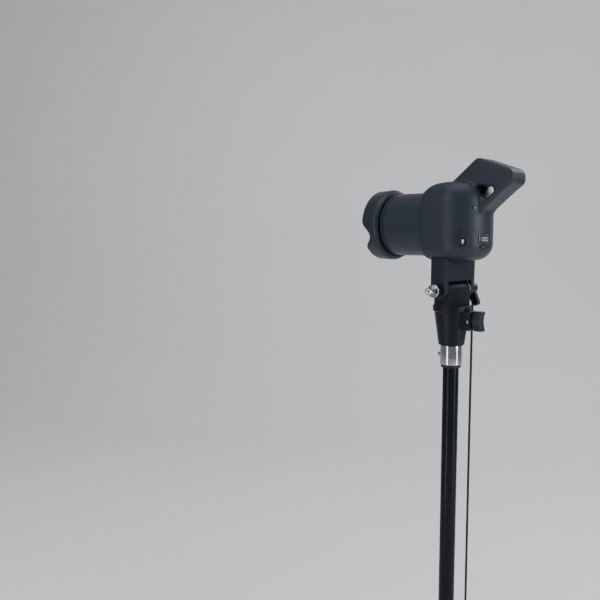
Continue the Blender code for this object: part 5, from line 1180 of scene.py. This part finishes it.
# %% Turn the lever's hub and weld on its arm
outward = moved(0, 0, TILT_HEIGHT) @ spun(-QUARTER, "Y")
lever_hub_corners = in_mm((10, 48.8, 1.4), (10, 34.3, 1), (4.3, 34.3, 0.2), (4.3, 48.8, 0.1))
lever = lathed("lever", lever_hub_corners, outward, 64)
arm_place = moved(-0.04355, 0, TILT_HEIGHT) @ spun(math.radians(27), "X") @ SIDEWAYS
arm_corners = in_mm(
    (-6.25, -5.8, 0), (-6.25, -10, 2), (-4.75, -27, 4.3), (4.75, -27, 4.3), (6.25, -10, 2),
    (6.25, -5.8, 0),
)
arm_outline = soft_outline(arm_corners, 8)
carved(lever, pressed("lever_arm", arm_outline, -0.00375, 0.00375, arm_place, 0.0013, 4), "UNION")
bored(lever, 0.00505, 0.0468, 0.05, outward, 64)
fitted(lever, "lever", knob_plastic, "knob", "tilt_lever")
cap_corners = in_mm((0, 49.1, 0), (4.75, 49.1, 0.6), (4.75, 47.1, 0.2), (0, 47.1, 0))
cap_screw = lathed("lever_cap_screw", cap_corners, outward, 64, 4)
carved(cap_screw, pressed("key_socket", hexagon(0.0021), 0.0479, 0.05, outward))
fitted(cap_screw, "lever", steel, "steel", "lever_screw")

# %% [markdown]
# ## Controls
# The rear wall is half a cylinder that carries the dimmer knob, the display window, its button and
# the remote's eye. Each sits on its own place on the curve, square to the wall. The knob has a skirt, a
# fluted grip and a pale drop-shaped pointer, and dots on the wall mark its travel.

# %% Turn the dimmer knob
knob_corners = in_mm(
    (0, 0.6, 0), (8.25, 0.6, 0.2), (8.25, 2, 0.5), (7.2, 2.6, 0.4), (6.85, 9.1, 0.8), (5, 9.1, 0.3),
    (4.6, 8.8, 0.3), (0, 8.8, 0),
)
dimmer = lathed("dimmer_knob", knob_corners, knob_place, 112)
FLUTES = 16
FLUTE_CIRCLE = 0.0076
flutes = []
for flute in range(FLUTES):
    round_rim = knob_place @ spun(2 * math.pi * flute / FLUTES, "Z") @ moved(FLUTE_CIRCLE, 0, 0)
    flutes.append(drilled("flute_cutter", 0.0009, 0.0027, 0.01, round_rim, 20))
carved(dimmer, one_tool(flutes))
bored(dimmer, 0.0033, -0.001, 0.0066, knob_place, 32)
fitted(dimmer, "knob", knob_plastic, "knob", "control_knob")

# %% Make the pointer and the dots round the knob
DROP_RADIUS = 0.0014
DROP_CENTRE = 0.0012
DOT_CIRCLE = 0.0102
DOTS = 11
white_print = moulded("white_print", (0.62, 0.63, 0.64), 0.45, depth=0.00001, tint=0.04)
drop = []
for angle in range(-20, 201, 10):
    turn = math.radians(angle)
    drop.append((DROP_RADIUS * math.cos(turn), DROP_CENTRE + DROP_RADIUS * math.sin(turn)))
pointer = pressed("pointer", drop + [(0, -0.0036)], 0.00875, 0.00895, knob_place, 0.00005, 2)
fitted(pointer, "knob", white_print, "nylon")
dots = []
for step in range(DOTS):
    angle = math.radians(-60 + 30 * step)
    spot = on_panel(
        PANEL["knob"][0] + DOT_CIRCLE * math.cos(angle) / HOUSING_RADIUS,
        PANEL["knob"][1] + DOT_CIRCLE * math.sin(angle),
    )
    size = 0.0005 if step % 5 == 0 else 0.0003
    dots.append(drilled("travel_dot", size, -0.0002, 0.00012, spot, 20))
faint_print = moulded("faint_print", (0.11, 0.13, 0.14), 0.5, depth=0.00001, tint=0.05)
fitted(one_tool(dots), "head", faint_print, "nylon")

# %% Make the display, its button and the remote's eye
window = boxed("window", (-0.0085, -0.00575, -0.0049), (0.0085, 0.00575, 0.0006), window_place, 0.0006, 3)
fitted(window, "head", smoked, "smoked", "display_window")

SEGMENTS = {"1": "bc", "0": "abcdef"}
BARS = {
    "a": (-0.0011, 0.0011, 0.0022, 0.0028),
    "b": (0.001, 0.0016, 0.0002, 0.0024),
    "c": (0.001, 0.0016, -0.0024, -0.0002),
    "d": (-0.0011, 0.0011, -0.0028, -0.0022),
    "e": (-0.0016, -0.001, -0.0024, -0.0002),
    "f": (-0.0016, -0.001, 0.0002, 0.0024),
}
bars = []
for digit, across in zip("100", (-0.0047, 0.0, 0.0047)):
    for bar in SEGMENTS[digit]:
        left, right, low, high = BARS[bar]
        bar_low, bar_high = (across + left, low, 0.00055), (across + right, high, 0.00066)
        bars.append(boxed("digit_bar", bar_low, bar_high, window_place))
lit = Finish("lit_digits", roughness=0.4, emission_strength=0.3)
glow = lit.noise(500, 1.0)
lit.set("Base Color", lit.mixed(glow, (0.3, 0.42, 0.44), (0.36, 0.48, 0.5)))
lit.set("Emission Color", lit.mixed(glow, (0.34, 0.62, 0.66), (0.42, 0.7, 0.74)))
fitted(one_tool(bars), "head", lit.material, "nylon")

rim_outer = oblong(0.0164, 0.0109, 0.0005)
window_rim = pressed("window_rim", rim_outer, 0.00055, 0.00064, window_place)
carved(window_rim, pressed("rim_cutter", oblong(0.016, 0.0105, 0.0004), 0.0003, 0.001, window_place))
dim_print = moulded("dim_print", (0.16, 0.17, 0.18), 0.5, depth=0.00001, tint=0.04)
fitted(window_rim, "head", dim_print, "nylon")

button = boxed("button", (-0.0055, -0.0018, -0.0039), (0.0055, 0.0018, 0.0016), button_place, 0.0005, 3)
fitted(button, "button", knob_plastic, "knob", "power_button")
sign_profile = in_mm((0.7, 1.58), (0.9, 1.58), (0.9, 1.66), (0.7, 1.66))
power_sign = turned("power_sign", sign_profile, button_place, 48)
carved(power_sign, boxed("sign_gap", (-0.00035, 0.0002, 0.001), (0.00035, 0.0015, 0.002), button_place))
sign_bar = boxed("sign_bar", (-0.0001, 0.0002, 0.00158), (0.0001, 0.0011, 0.00166), button_place)
fitted(one_tool([power_sign, sign_bar]), "button", dim_print, "nylon")

arc = [step * math.pi / 24 for step in range(13)]
eye_profile = [(0.00275 * math.sin(turn), 0.0009 * math.cos(turn)) for turn in arc]
eye_profile += [(0.00275, -0.006), (0, -0.006)]
fitted(turned("remote_eye", eye_profile, eye_place, 48), "head", smoked, "smoked", "remote_sensor")
